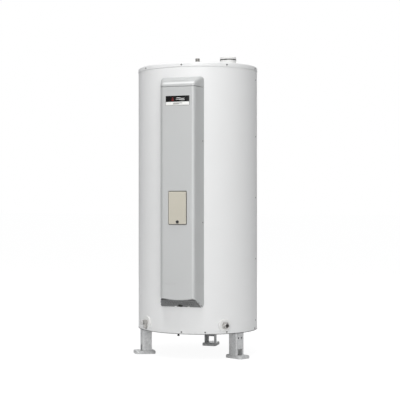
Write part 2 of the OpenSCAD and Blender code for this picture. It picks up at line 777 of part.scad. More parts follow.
// Puts its children on the cover's side s, a share f of the way back, with outwards as -Y
module on_side(s, f, z) {
    p = side_start(0) + f * side_l * [-sin(side_a), cos(side_a)];
    translate([s * p[0], p[1], z]) rotate([0, 0, s * (90 + side_a)]) children();
}

module side_screw_places() {
    for (s = [-1, 1]) {
        for (z = cover_screw_z) on_side(s, cover_screw_s, z) children();
        for (q = low_screws) on_side(s, q[0], q[1]) children();
    }
}

module cover_main() color(grey_paint) difference() {
    cover_wall(cover_z1 + 0.6, cover_z2);
    translate([0, 0, window_z]) round_plate(window_w, window_h, 6, cover_y - 10, cover_y + over);
    pin_slot(1.65);
    side_screw_places() rod(shank_r + 0.15, -6, 3);
}

chin_z = cover_z0 + 50;         // the front face ends here and the chin slopes back below it
chin_drop = 14;                 // how far the front face's lower edge bows down in the middle
chin_bow_r = (pow(corner_x + corner_r, 2) + pow(chin_drop, 2)) / (2 * chin_drop);
chin_back_y = -body_r - 6;      // foot of the chin

heel_back_r = 20;               // radius of the side walls' lower corners at the casing

// Side view of the lower cover: the side walls follow the chin's slope with a round heel, and turn up
// again where they meet the casing
function heel(t) = concat(
    [[-cover_y - over, 2000], [-cover_y - over, chin_z + t]],
    arc([chin_back_y + 8, cover_z0 + 8], 8 - t, 225, 270, 6),
    arc([-327 - heel_back_r, cover_z0 + heel_back_r], heel_back_r - t, 270, 360, 8),
    [[0, cover_z0 + heel_back_r], [0, 2000]]
);

module cover_lower() color(grey_paint) difference() {
    intersection() {
        cover_wall(cover_z0, cover_z1);
        side_extrude(heel(0));
    }
    difference() {
        translate([-120, -cover_y - over, cover_z0 - over]) cube([240, 22, 62]);
        translate([0, -cover_y - 2 * over, chin_z - 7 + chin_bow_r]) rotate([-90, 0, 0])
            cylinder(r = chin_bow_r, h = 30, $fn = 180);
    }
    side_screw_places() rod(shank_r + 0.15, -6, 3);
}

// The dark plate that closes the chin: sloped, slotted, and notched along its foot
chin_a = atan2(chin_z - 10 - cover_z0, cover_y - 10 + chin_back_y);
chin_l = norm([chin_z - 10 - cover_z0, cover_y - 10 + chin_back_y]);
gland_f = 0.22;                 // place of the cable entry, as a share of the slope from its foot
gland_r = 11;

// Puts its children on the chin: +X along its width, +Z up the slope, outwards -Y
module on_chin() {
    translate([0, chin_back_y, cover_z0 + 1]) rotate([90 - chin_a, 0, 0]) children();
}

module cover_chin() color([0.42, 0.43, 0.43]) difference() {
    intersection() {
        on_chin() translate([-130, -2.5, 0]) cube([260, 2.5, chin_l]);
        translate([0, 0, cover_z0]) linear_extrude(100) cover_plan(cover_t + 0.2);
    }
    on_chin() {
        translate([0, 0, gland_f * chin_l]) rod(gland_r, -5, 5);
        for (row = [0:2], k = [-5:5])
            if (abs(k) > 1 || row > 0)
                translate([k * 15 + (row % 2) * 4, 0, (0.42 + 0.19 * row) * chin_l])
                    round_plate(9, 3.2, 1.5, -5, 5);
        translate([37, -5, -over]) cube([17, 10, 10]);
        translate([-34, -5, -over]) cube([9, 10, 10]);
    }
    translate([0, 0, cover_z0 - over]) cylinder(r = body_r + fit, h = 200, $fn = 180);
}

// A rubber ring that the mains conduit passes through
module cable_grommet() color(black) on_chin() translate([0, 0, gland_f * chin_l]) difference() {
    union() {
        rod(gland_r - 0.1, -3, 5);
        rod(14, 2.6, 5);
        rod(14, -3, -0.1);
    }
    rod(8, -4, 6);
}

// Angle pieces on the casing that the side screws bite into
module cover_brackets() color(zinc) for (s = [-1, 1], z = cover_screw_z) difference() {
    on_side(s, cover_screw_s, z) translate([0, cover_t + 0.15, 0]) {
        translate([-8, 0, -9]) cube([16, 1.6, 18]);
        translate([s > 0 ? -8 : 6.4, 0, -9]) cube([1.6, 14, 18]);
    }
    on_side(s, cover_screw_s, z) rod(shank_r + 0.1, -8, 3);
    cylinder(r = body_r + fit, h = 2000, $fn = 180);
}

module cover_screws() color(zinc) side_screw_places() pan_screw(4, 2, shank_r, 5);

module badge_plate() color(black)
    translate([0, 0, 1455]) round_plate(137, 54, 2, cover_y + 0.05, cover_y + 0.9);

// ---------------------------------------------------------------- control window

tray_t = 2.5;
tray_front = cover_y - cover_t - 0.05;
tray_floor = 396;               // distance of the tray's floor from the axis
door_w = 100;
door_h = 181;
door_front = cover_y + 5;
door_back = cover_y - 7;
barrel_r = 7.5;
pivot_y = door_front - barrel_r;
pivot_z = window_z + door_h / 2 - barrel_r;
latch_z = window_z - door_h / 2 + 12;
breaker_x = -24;
breaker_w = 50;
breaker_h = 100;
breaker_front = 406;
panel_x = 28;

// The door's pins turn in slots between the tray's cheeks and the back of the cover
module pin_slot(r) {
    half = window_w / 2 + tray_t + 0.4;
    translate([-half, -pivot_y, pivot_z]) rotate([0, 90, 0]) cylinder(r = r, h = 2 * half, $fn = 32);
}

module tray_holes() {
    translate([breaker_x - breaker_w / 2 - fit, -tray_floor - 20, window_z - breaker_h / 2 - fit])
        cube([breaker_w + 2 * fit, 60, breaker_h + 2 * fit]);
    translate([panel_x - 20 - fit, -tray_floor - 20, window_z - 45 - fit])
        cube([40 + 2 * fit, 60, 90 + 2 * fit]);
}

module window_tray() color([0.70, 0.71, 0.71]) difference() {
    union() {
        difference() {
            translate([0, 0, window_z]) round_plate(
                window_w + 2 * tray_t, window_h + 2 * tray_t, 8, tray_floor - tray_t, tray_front);
            translate([0, 0, window_z]) round_plate(window_w, window_h, 6, tray_floor, tray_front + over);
        }
        translate([0, 0, latch_z]) rod(7, tray_floor - 1, door_back - 6);
    }
    tray_holes();
    translate([0, 0, latch_z]) rod(4.8, tray_floor + 4, door_back);
    pin_slot(1.65);
}

module window_door() color([0.80, 0.77, 0.70]) difference() {
    union() {
        difference() {
            intersection() {
                translate([0, 0, window_z]) round_plate(door_w, door_h, 4, door_back, door_front);
                translate([-60, -door_front - over, window_z - door_h])
                    cube([120, 30, door_h + pivot_z - window_z]);
            }
            translate([0, 0, window_z - 6.5])
                round_plate(door_w - 5, door_h - 18, 2, door_back - over, door_front - 2.5);
        }
        translate([-door_w / 2, -pivot_y, pivot_z])
            rotate([0, 90, 0]) cylinder(r = barrel_r, h = door_w, $fn = 48);
        translate([0, 0, latch_z]) rod(8, door_back, door_front - 1);
        translate([-window_w / 2 - tray_t, -pivot_y, pivot_z]) rotate([0, 90, 0])
            cylinder(r = 1.55, h = window_w + 2 * tray_t, $fn = 32);
    }
    translate([0, 0, latch_z]) rod(3.3, door_back - 5, door_front + over);
    translate([0, 0, latch_z]) rod(9, door_front - 1.2, door_front + over);
}

// A captive quarter-turn screw with a coin slot
module door_latch() color(black) translate([0, 0, latch_z]) difference() {
    union() {
        rod(8.6, door_front - 1, door_front + 2);
        rod(2.8, tray_floor + 12, door_front);
    }
    translate([-6, -door_front - 2 - over, -1]) cube([12, 2.2, 2]);
}

lever_y = breaker_front - 4;
lever_z = window_z + 6;
test_z = window_z - 30;

module breaker_body() color([0.20, 0.20, 0.21]) difference() {
    union() {
        translate([breaker_x - breaker_w / 2, -breaker_front + 6, window_z - breaker_h / 2])
            cube([breaker_w, 38, breaker_h]);
        translate([breaker_x - 20, -breaker_front, window_z - 40]) cube([40, 8, 80]);
    }
    translate([breaker_x - 7.4, -breaker_front - over, lever_z - 15]) cube([14.8, 13, 30]);
    translate([breaker_x, 0, test_z]) rod(4.3, breaker_front - 8, breaker_front + over);
    translate([breaker_x - 20, -lever_y, lever_z]) rotate([0, 90, 0]) cylinder(r = 1.6, h = 40, $fn = 32);
}

// A toggle on its own cross pin, resting in the raised ON position
module breaker_lever() color([0.85, 0.85, 0.83]) translate([breaker_x, -lever_y, lever_z]) {
    translate([-6.8, 0, 0]) rotate([0, 90, 0]) cylinder(r = 6, h = 13.6, $fn = 48);
    translate([-10, 0, 0]) rotate([0, 90, 0]) cylinder(r = 1.5, h = 20, $fn = 32);
    rotate([-25, 0, 0]) translate([-6.8, -12, -2.6]) cube([13.6, 10, 5.2]);
}

module breaker_test_button() color([0.75, 0.20, 0.15]) translate([breaker_x, 0, test_z])
    rod(4, breaker_front - 5, breaker_front + 2.5);

boost_z = window_z + 22;
mode_z = window_z - 6;

module control_panel() color([0.88, 0.88, 0.87]) difference() {
    union() {
        translate([panel_x - 20, -tray_floor - 4, window_z - 45]) cube([40, 20, 90]);
        translate([panel_x, 0, window_z - 32]) rod(3.5, tray_floor + 3, tray_floor + 4.8);
    }
    translate([panel_x - 18, -tray_floor - 1.5, window_z - 43]) cube([36, 30, 86]);
    for (z = [boost_z, mode_z])
        translate([panel_x, 0, z]) round_plate(16.6, 10.6, 2, tray_floor - 5, tray_floor + 6);
}

module panel_button(z) {
    translate([panel_x, 0, z]) {
        round_plate(16, 10, 1.8, tray_floor + 1.3, tray_floor + 6.5);
        round_plate(20, 14, 2, tray_floor - 0.4, tray_floor + 1.4);
    }
}

module boost_button() color([0.90, 0.55, 0.20]) panel_button(boost_z);
module mode_button() color([0.55, 0.57, 0.60]) panel_button(mode_z);

// ---------------------------------------------------------------- electrical parts behind the cover

box_z = 1130;
terminal_z = 700;
plate_y = 362;                  // front face of the chassis plate, from the axis

// A steel chassis with the control board, its relays, transformer and capacitors, and the mains terminals
module control_box() color([0.30, 0.52, 0.36]) difference() {
    union() {
        translate([-70, -plate_y, 676]) cube([140, 2, box_z + 110 - 676]);
        for (x = [-70, 68]) translate([x, -392, box_z - 110]) cube([2, 30.01, 220]);
        for (x = [-58, 58], z = [690, 970, 1225]) translate([x, -plate_y + 1, z]) rod(6, -30, 0);
        for (x = [-58, 58], z = [-95, 95]) translate([x, -plate_y + 0.1, box_z + z]) rod(3, 0, 8.1);
        translate([-64, -plate_y - 9.6, box_z - 102]) cube([128, 1.6, 204]);
        translate([-50, -404, box_z + 40]) cube([46, 32.5, 44]);
        for (x = [10, 34]) translate([x, -390, box_z + 50]) cube([20, 18.5, 28]);
        for (x = [-40, -14, 12]) translate([x, -371.5, box_z - 10]) rod(9, 0, 28);
        for (x = [-50, -20, 10]) translate([x, -384, box_z - 90]) cube([24, 12.5, 12]);
        translate([-42, -385, terminal_z - 16]) cube([84, 23.01, 32]);
        for (x = [-28, 0, 28]) translate([x, -384.9, terminal_z]) rod(6, 0, 2);
    }
    cylinder(r = body_r + fit, h = 2000, $fn = 180);
}

// A flanged immersion heater with its sheathed loop, in each neck
module heater_unit() {
    rod(60, neck_y + 1.6, neck_y + 9);
    for (a = [0:60:300]) rotate([0, a, 0]) translate([0, 0, 52]) {
        translate([0, -neck_y - 9, 0]) rotate([90, 0, 0]) cylinder(d = 13 / cos(30), h = 5.3, $fn = 6);
    }
    for (x = [-15, 15]) translate([x, 0, 0]) {
        rod(4, 20, neck_y + 2);
        rod(3, neck_y + 8.9, neck_y + 24);
        rod(7, neck_y + 8.9, neck_y + 14);
    }
    translate([0, -20, 0]) rotate_extrude(angle = 180) translate([15, 0]) circle(r = 4);
}

module heaters() color(stainless) for (z = [lower_heater_z, upper_heater_z]) {
    translate([0, 0, z]) heater_unit();
    on_wall(0, 0, z) difference() {
        rod(58, neck_y + 0.1, neck_y + 1.6);
        rod(44, neck_y - 1, neck_y + 3);
    }
}

// A snap-disc thermostat clamped against the tank's side
module limit_thermostat() color([0.15, 0.15, 0.16]) on_wall(0, 0, limit_z) {
    rod(13, tank_r + 0.4, tank_r + 16);
    rod(17, tank_r + 0.4, tank_r + 4);
    rod(3, tank_r + 15.9, tank_r + 20);
    for (x = [-9, 9]) translate([x - 0.5, -tank_r - 26, -3]) cube([1, 10.01, 6]);
}

// Mains feed to the board, board to the upper heater, terminals to the lower heater, and the
// thermostat's lead
wire_routes = [
    [
        [-28, -391, 700], [-60, -394, 708], [-88, -394, 740],
        [-88, -394, 900], [-88, -394, 1120], [-74, -390, 1150]
    ],
    [[-20, -376, 1236], [-20, -376, 1262], [-16, -360, 1300], [-15, -346, 1330]],
    [[28, -391, 700], [60, -394, 680], [86, -392, 620], [86, -388, 500], [50, -368, 440], [15, -346, 420]],
    [[9, -326, 640], [14, -352, 640], [44, -378, 650], [74, -388, 700], [80, -388, 900], [74, -388, 1100]]
];

module wiring_harness() color([0.85, 0.83, 0.78]) {
    for (route = wire_routes) wire(curve(route, 4), 3.2);
}

// ---------------------------------------------------------------- assembly

casing_front();
casing_rear();
top_cap();
base_pan();
cap_screws();
rim_screws();
seam_screws();
leg_front_left();
leg_front_right();
leg_rear();
leg_bolts();
leg_nuts();
tank_shell();
tank_ring();
insulation_top();
insulation_side();
insulation_base();
inlet_escutcheon();
inlet_fitting();
inlet_pipe();
inlet_diffuser();
drain_escutcheon();
drain_body();
drain_bonnet();
drain_jumper();
drain_spindle();
drain_knob();
drain_pipe();
outlet_escutcheon();
outlet_fitting();
relief_body();
relief_stem();
relief_spring();
relief_lever();
relief_turret();
relief_gasket();
relief_lid();
overflow_pipe();
overflow_nozzle();
cover_top();
cover_main();
cover_lower();
cover_chin();
cover_brackets();
cover_screws();
cable_grommet();
badge_plate();
window_tray();
window_door();
door_latch();
breaker_body();
breaker_lever();
breaker_test_button();
control_panel();
boost_button();
mode_button();
control_box();
heaters();
limit_thermostat();
wiring_harness();
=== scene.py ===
# An upright round tank water heater on three legs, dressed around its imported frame.
import json
import math

import bmesh
import bpy
import numpy as np
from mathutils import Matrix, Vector

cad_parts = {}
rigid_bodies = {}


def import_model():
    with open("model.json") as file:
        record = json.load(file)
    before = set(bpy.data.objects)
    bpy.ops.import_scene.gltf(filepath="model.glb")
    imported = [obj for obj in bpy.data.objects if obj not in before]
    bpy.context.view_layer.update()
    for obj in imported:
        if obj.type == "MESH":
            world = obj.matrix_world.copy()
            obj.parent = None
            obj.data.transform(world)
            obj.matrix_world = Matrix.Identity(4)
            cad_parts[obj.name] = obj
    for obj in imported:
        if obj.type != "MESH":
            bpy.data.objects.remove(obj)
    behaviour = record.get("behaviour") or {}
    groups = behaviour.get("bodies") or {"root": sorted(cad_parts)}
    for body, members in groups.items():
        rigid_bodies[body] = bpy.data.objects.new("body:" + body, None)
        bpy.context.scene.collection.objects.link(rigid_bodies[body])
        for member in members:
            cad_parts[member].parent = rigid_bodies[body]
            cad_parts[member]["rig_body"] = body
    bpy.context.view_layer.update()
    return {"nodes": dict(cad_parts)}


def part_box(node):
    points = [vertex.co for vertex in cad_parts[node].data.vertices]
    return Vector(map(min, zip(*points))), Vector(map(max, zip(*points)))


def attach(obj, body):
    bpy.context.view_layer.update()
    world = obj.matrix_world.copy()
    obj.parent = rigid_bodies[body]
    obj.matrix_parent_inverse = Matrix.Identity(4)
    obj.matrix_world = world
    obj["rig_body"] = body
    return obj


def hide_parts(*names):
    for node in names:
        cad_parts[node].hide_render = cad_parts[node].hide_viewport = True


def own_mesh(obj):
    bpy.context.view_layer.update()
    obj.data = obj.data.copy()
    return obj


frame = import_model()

# ------------------------------------------------------------------ viewpoint, light and floor
# A level camera 0.9 m up and 6.3 m away, 15 degrees round towards the heater's right-hand side. It aims 5
# degrees past the heater, whose middle it brings back with its shift. A white room: one wide soft panel in
# front, a weaker one behind, one overhead, and a pale floor.
camera_turn = math.radians(15)
camera_distance = 6.341
camera_height = 0.9015
camera_aside = math.radians(5)
film_width, focal_length, framing_shift = 36, 96, 0.0061
room_middle = Vector((0, 0, 0.95))


def in_scene(name, data):
    """An object in the scene that shows a mesh, a light or a camera."""
    made = bpy.data.objects.new(name, data)
    bpy.context.collection.objects.link(made)
    return made


camera = in_scene("camera", bpy.data.cameras.new("camera"))
camera.location = (
    camera_distance * math.sin(camera_turn), -camera_distance * math.cos(camera_turn), camera_height)
camera.rotation_euler = (math.pi / 2, 0, camera_turn + camera_aside)
camera.data.sensor_width = film_width
camera.data.lens = focal_length * math.cos(camera_aside)
camera.data.shift_x = framing_shift + focal_length / film_width * math.sin(camera_aside)
bpy.context.scene.camera = camera
bpy.context.scene.view_settings.view_transform = "Standard"


def soft_panel(name, bearing_deg, height, distance, size, watts):
    """An area light that stands at a bearing round the tank's axis and faces the room's middle."""
    light = bpy.data.lights.new(name, "AREA")
    light.shape = "RECTANGLE"
    light.size, light.size_y = size
    light.energy = watts
    panel = in_scene(name, light)
    turn = math.radians(bearing_deg)
    panel.location = (distance * math.sin(turn), -distance * math.cos(turn), height)
    panel.rotation_euler = (room_middle - panel.location).to_track_quat("-Z", "Y").to_euler()


soft_panel("front_panel", 14, 1.15, 5.2, (2.8, 3.2), 96)
soft_panel("back_panel", 190, 2.6, 6.0, (3.0, 3.0), 60)
soft_panel("ceiling_panel", 0, 4.6, 1.6, (2.0, 2.0), 86)


def fed(tree, node, sockets):
    """Sets each named or numbered socket of a node to a plain value, or links another node's output to it."""
    for key, source in sockets.items():
        if isinstance(source, bpy.types.NodeSocket):
            tree.links.new(source, node.inputs[key])
        else:
            node.inputs[key].default_value = source
    return node


def added(tree, kind, sockets, **settings):
    """A new node in a tree, with its settings made before its sockets are fed."""
    node = tree.nodes.new(kind)
    for key, value in settings.items():
        setattr(node, key, value)
    return fed(tree, node, sockets)


def seen_and_lit(tree, seen, lit, output):
    """Feeds output with one shader where the camera looks straight at it, and another for all other rays."""
    straight = tree.nodes.new("ShaderNodeLightPath").outputs["Is Camera Ray"]
    either = added(tree, "ShaderNodeMixShader", {0: straight, 1: lit.outputs[0], 2: seen.outputs[0]})
    fed(tree, tree.nodes.new(output), {"Surface": either.outputs[0]})


room = bpy.data.worlds.new("white_room")
bpy.context.scene.world = room
room.use_nodes = True
walls = room.node_tree
walls.nodes.clear()
wall_seen = added(walls, "ShaderNodeBackground", {"Color": (1, 1, 1, 1), "Strength": 1.0})
wall_lit = added(walls, "ShaderNodeBackground", {"Color": (0.985, 0.99, 1, 1), "Strength": 0.41})
seen_and_lit(walls, wall_seen, wall_lit, "ShaderNodeOutputWorld")

floor_half = 60
floor_mesh = bpy.data.meshes.new("floor")
floor_mesh.from_pydata([(x * floor_half, y * floor_half, 0) for x, y in ((-1, -1), (1, -1), (1, 1), (-1, 1))],
                       [], [(0, 1, 2, 3)])
floor = in_scene("floor", floor_mesh)
floor_paint = bpy.data.materials.new("pale_floor")
floor_paint.use_nodes = True
floor_tree = floor_paint.node_tree
floor_tree.nodes.clear()
floor_lit = added(floor_tree, "ShaderNodeBsdfDiffuse", {"Color": (0.86, 0.86, 0.86, 1)})
floor_glow = added(floor_tree, "ShaderNodeEmission", {"Strength": 0.93})
floor_dull = added(floor_tree, "ShaderNodeBsdfDiffuse", {"Color": (0.16, 0.16, 0.16, 1)})
floor_seen = added(floor_tree, "ShaderNodeAddShader", {0: floor_glow.outputs[0], 1: floor_dull.outputs[0]})
seen_and_lit(floor_tree, floor_seen, floor_lit, "ShaderNodeOutputMaterial")
floor_mesh.materials.append(floor_paint)


# ------------------------------------------------------------------ casing
# Two half shells of enamelled sheet steel, 1.2 mm thick, with rolled top and bottom edges. The rear half is
# stepped in by one thickness along both sides, and the front half laps over it there.
casing_low, casing_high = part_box("casing_rear")
casing_r = casing_high.x
casing_z0, casing_z1 = casing_low.z, casing_high.z
sheet = 0.0012
neck_z, neck_depth, neck_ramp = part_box("top_cap")[0].z - 0.0016, 0.0015, 0.003
wander_depth = 0.00005
same_point = 2e-6


def smoothed(mesh, sharp_deg=35):
    """Shades a mesh smooth, but for edges that turn by more than an angle."""
    mesh.polygons.foreach_set("use_smooth", np.ones(len(mesh.polygons), dtype=bool))
    mesh.set_sharp_from_angle(angle=math.radians(sharp_deg))


def formed(name, grids, away_from=None):
    """One piece of several grids of points. Each grid is an array (rows, columns, 3), and every four
    neighbours make a face. Points that fall together are merged, so grids that meet become one skin. Faces
    are turned outwards, and those of an open sheet away from a point."""
    points, faces, start = [], [], 0
    for grid in grids:
        rows, columns = grid.shape[:2]
        points.append(grid.reshape(-1, 3))
        index = start + np.arange(rows * columns).reshape(rows, columns)
        corners = [index[:-1, :-1], index[1:, :-1], index[1:, 1:], index[:-1, 1:]]
        faces.append(np.stack(corners, axis=-1).reshape(-1, 4))
        start += rows * columns
    points, faces = np.concatenate(points), np.concatenate(faces)
    cell = np.round(points / same_point).astype(np.int64)
    _, first, same = np.unique(cell, axis=0, return_index=True, return_inverse=True)
    points, faces = points[first], same.reshape(-1)[faces]
    loops = [list(dict.fromkeys(face)) for face in faces.tolist()]
    mesh = bpy.data.meshes.new(name)
    mesh.from_pydata(points, [], [face for face in loops if len(face) > 2])
    mesh.validate()
    work = bmesh.new()
    work.from_mesh(mesh)
    bmesh.ops.recalc_face_normals(work, faces=work.faces)
    if away_from is not None:
        away = Vector(away_from)
        if sum(f.normal.dot(f.calc_center_median() - away) * f.calc_area() for f in work.faces) < 0:
            bmesh.ops.reverse_faces(work, faces=work.faces)
    work.to_mesh(mesh)
    work.free()
    smoothed(mesh)
    return in_scene(name, mesh)


def smooth_step(share):
    """From 0 to 1, level at both ends and held beyond them: share^2 (3 - 2 share)."""
    share = np.clip(share, 0, 1)
    return share ** 2 * (3 - 2 * share)


def end_caps(tube):
    """Two flat grids that close a tube of points (rows along it, columns round it), each fanned to its
    middle."""
    return [np.stack([end, np.broadcast_to(end.mean(axis=0), end.shape)]) for end in (tube[0], tube[-1])]


def half_shell(name, from_deg, to_deg, step_deg, seed, drop=0.0):
    """A wall section (up the outside, over, down the inside, under) carried round the axis. Over the last
    step_deg at each side the radius falls by drop, and under the cap's skirt by the neck's depth. The wall
    wanders by up to a fifth of a millimetre."""
    turn = np.radians(np.concatenate([
        np.linspace(from_deg, from_deg + 4, 12, endpoint=False),
        np.linspace(from_deg + 4, to_deg - 4, 120, endpoint=False),
        np.linspace(to_deg - 4, to_deg, 13)]))
    step = drop * (1 - smooth_step(np.minimum(turn - turn[0], turn[-1] - turn) / math.radians(step_deg)))
    lip = sheet / 2
    up = np.union1d(np.linspace(casing_z0 + lip, casing_z1 - lip, 60), neck_z + np.linspace(0, neck_ramp, 7))
    curl = np.linspace(0, math.pi, 5)
    section = np.concatenate([
        np.stack([np.zeros_like(up), up], axis=1),
        np.stack([lip * np.cos(curl) - lip, casing_z1 - lip + lip * np.sin(curl)], axis=1),
        np.stack([np.full_like(up, -sheet), up[::-1]], axis=1),
        np.stack([-lip - lip * np.cos(curl), casing_z0 + lip - lip * np.sin(curl)], axis=1)])
    section = np.concatenate([section, section[:1]])
    start = np.random.default_rng(seed).uniform(0, 2 * math.pi, 2)
    z = section[:, 1][None, :]
    wander = wander_depth * (np.sin(3 * turn[:, None] + 2.1 * z + start[0])
                             + np.sin(7 * turn[:, None] - 5.2 * z + start[1]) - 2)
    neck = neck_depth * np.clip((z - neck_z) / neck_ramp, 0, 1)
    radius = casing_r + section[:, 0][None, :] - step[:, None] - neck + wander
    shell = np.stack([radius * np.sin(turn)[:, None], -radius * np.cos(turn)[:, None],
                      np.broadcast_to(z, radius.shape)], axis=-1)
    return formed(name, [shell, *end_caps(shell)])


def surface_group(name, sockets):
    """A node group with these inputs and a Tone, a Roughness and a Height out. With it come its Object
    coordinates and its inputs' values."""
    group = bpy.data.node_groups.new(name, "ShaderNodeTree")
    kinds = {1: "NodeSocketFloat", 3: "NodeSocketVector", 4: "NodeSocketColor"}
    for label, value in sockets.items():
        kind = kinds[np.size(value)]
        group.interface.new_socket(label, in_out="INPUT", socket_type=kind).default_value = value
    for label, size in (("Tone", 4), ("Roughness", 1), ("Height", 1)):
        group.interface.new_socket(label, in_out="OUTPUT", socket_type=kinds[size])
    place = group.nodes.new("ShaderNodeTexCoord").outputs["Object"]
    return group, place, group.nodes.new("NodeGroupInput").outputs


def surfaced(group, tone, value, dull, height):
    """Ends a group: its tone made lighter or darker by a value near 1, its roughness and its height."""
    shade = added(group, "ShaderNodeHueSaturation", {"Color": tone, "Value": value}).outputs["Color"]
    fed(group, group.nodes.new("NodeGroupOutput"), {"Tone": shade, "Roughness": dull, "Height": height})
    return group


def noise(group, vector, scale, detail=2.0, roughness=0.5):
    """Cloudy noise of so many lumps to the metre."""
    return added(group, "ShaderNodeTexNoise", {
        "Vector": vector, "Scale": scale, "Detail": detail, "Roughness": roughness}).outputs["Fac"]


def ranged(group, value, low, high, from_low=0.0, from_high=1.0):
    """A value's range carried onto another, and held there."""
    return added(group, "ShaderNodeMapRange", {
        "Value": value, "From Min": from_low, "From Max": from_high,
        "To Min": low, "To Max": high}).outputs["Result"]


def sums(group, *values, operation="ADD"):
    """Adds or multiplies values or plain numbers, from left to right."""
    total = values[0]
    for value in values[1:]:
        total = added(group, "ShaderNodeMath", {0: total, 1: value}, operation=operation).outputs["Value"]
    return total


def sprayed_enamel():
    """Sprayed enamel: a fine orange-peel height, a gloss that drifts over a hand's breadth, and a tone that
    wanders by one part in a hundred."""
    group, place, given = surface_group("sprayed_enamel", {
        "Tone": (0.8, 0.8, 0.8, 1), "Gloss": 0.3, "Peel Scale": 400.0})
    peel = noise(group, place, given["Peel Scale"])
    broad = noise(group, place, 5.0, 4.0)
    scuffs = noise(group, place, 60.0, 6.0, 0.7)
    gloss = sums(group, given["Gloss"], ranged(group, broad, -0.05, 0.05),
                 ranged(group, scuffs, 0.0, 0.07, 0.55, 0.75))
    return surfaced(group, given["Tone"], ranged(group, broad, 0.985, 1.012), gloss, peel)


def coated(name, group, tone, settings, relief, metallic=0.0, specular=0.5):
    """A material whose tone, roughness and relief come from a surface group with its own settings. relief is
    the depth of its bumps in metres."""
    material = bpy.data.materials.new(name)
    material.use_nodes = True
    tree = material.node_tree
    made = added(tree, "ShaderNodeGroup", {"Tone": (*tone, 1), **settings}, node_tree=group).outputs
    bump = added(tree, "ShaderNodeBump", {"Distance": relief, "Height": made["Height"]})
    fed(tree, tree.nodes["Principled BSDF"], {
        "Metallic": metallic, "Specular IOR Level": specular,
        "Base Color": made["Tone"], "Roughness": made["Roughness"], "Normal": bump.outputs["Normal"]})
    return material


enamel = sprayed_enamel()
white_enamel = coated("white_enamel", enamel, (0.815, 0.818, 0.815), {
    "Gloss": 0.40, "Peel Scale": 420.0}, 0.00003)


def dressed(piece, material, slot, *stands_for, body="root"):
    """Gives a piece its material and its body, and hides the CAD nodes it stands for. slot is not used."""
    piece.data.materials.clear()
    piece.data.materials.append(material)
    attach(piece, body)
    if stands_for:
        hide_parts(*stands_for)
    return piece


lap_deg = 2.2
under_deg = 1.6 * lap_deg
lap_drop = sheet + 0.0005
front_sheet = half_shell("casing_front_sheet", -90.0, 90.0, lap_deg, 3)
rear_sheet = half_shell("casing_rear_sheet", 90.0 - under_deg, 270.0 + under_deg, 1.7 * lap_deg, 4, lap_drop)
dressed(front_sheet, white_enamel, "white_enamel", "casing_front")
dressed(rear_sheet, white_enamel, "white_enamel", "casing_rear")


# ------------------------------------------------------------------ top cap and base pan
# The cap is a pressed lid of the same enamelled sheet: its skirt hangs just outside the casing, its edge is
# rolled, and two rounded grooves stiffen the deck. The base pan is zinc-coated steel with a flange inside the
# casing, and its zinc is given a dark tone that is painted shade under the casing's bottom edge.
cap_low, cap_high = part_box("top_cap")
cap_r = cap_high.x
cap_z0, cap_z1 = cap_low.z, cap_high.z
cap_edge = 0.008
outlet_hole = 0.019


def arc(centre, radius, from_deg, to_deg, count):
    """Points of an arc in a section plane."""
    turn = np.radians(np.linspace(from_deg, to_deg, count))
    return np.stack([centre[0] + radius * np.cos(turn), centre[1] + radius * np.sin(turn)], axis=1)


def turned(section, count=96, shape=None):
    """A section of (radius, height) points turned round the Z axis, from its first point to its last.
    shape(turn, radius, height) may change the radius."""
    turn = np.linspace(0, 2 * math.pi, count + 1)
    turn[-1] = 0
    section = np.asarray(section, dtype=float)
    radius = np.broadcast_to(section[:, 0], (count + 1, len(section)))
    height = np.broadcast_to(section[:, 1], radius.shape)
    if shape is not None:
        radius = shape(turn[:, None], radius, height)
    return np.stack([radius * np.cos(turn)[:, None], radius * np.sin(turn)[:, None], height], axis=-1)


def closed(points):
    """A section whose last point is its first again."""
    return np.concatenate([points, points[:1]])


def deck_height(radius):
    """Flat, but for rounded grooves pressed down as bell curves: near the rim, and round the outlet."""
    height = cap_z1
    for groove_r, half_width, depth in ((0.322, 0.006, 0.0025), (0.112, 0.005, 0.002)):
        height = height - depth * np.exp(-((radius - groove_r) / half_width) ** 2)
    return height


deck_r = np.concatenate([
    np.linspace(cap_r - cap_edge, 0.300, 26, endpoint=False), np.linspace(0.300, 0.130, 8, endpoint=False),
    np.linspace(0.130, 0.094, 18, endpoint=False), np.linspace(0.094, outlet_hole, 7)])
deck = np.stack([deck_r, deck_height(deck_r)], axis=1)
cap_section = np.concatenate([
    [[cap_r - sheet, cap_z0 + 0.003]], arc((cap_r - 0.0005, cap_z0 + 0.0011), 0.0011, 200, 395, 12),
    [[cap_r - 0.0002, cap_z0 + 0.0024]],
    arc((cap_r - cap_edge, cap_z1 - cap_edge), cap_edge, 0, 90, 14),
    deck[1:], deck[::-1] - [0, sheet],
    arc((cap_r - cap_edge, cap_z1 - cap_edge), cap_edge - sheet, 90, 0, 9)[1:]])
top_lid = formed("top_lid", [turned(closed(cap_section), 240)])
dressed(top_lid, white_enamel, "white_enamel", "top_cap")


def cells(group, vector, scale, distance="EUCLIDEAN"):
    """Irregular cells of so many to the metre: each point's distance from its cell's middle, and three random
    numbers for each cell."""
    made = added(group, "ShaderNodeTexVoronoi", {"Vector": vector, "Scale": scale}, distance=distance)
    shade = added(group, "ShaderNodeSeparateColor", {"Color": made.outputs["Color"]})
    return made.outputs["Distance"], shade.outputs


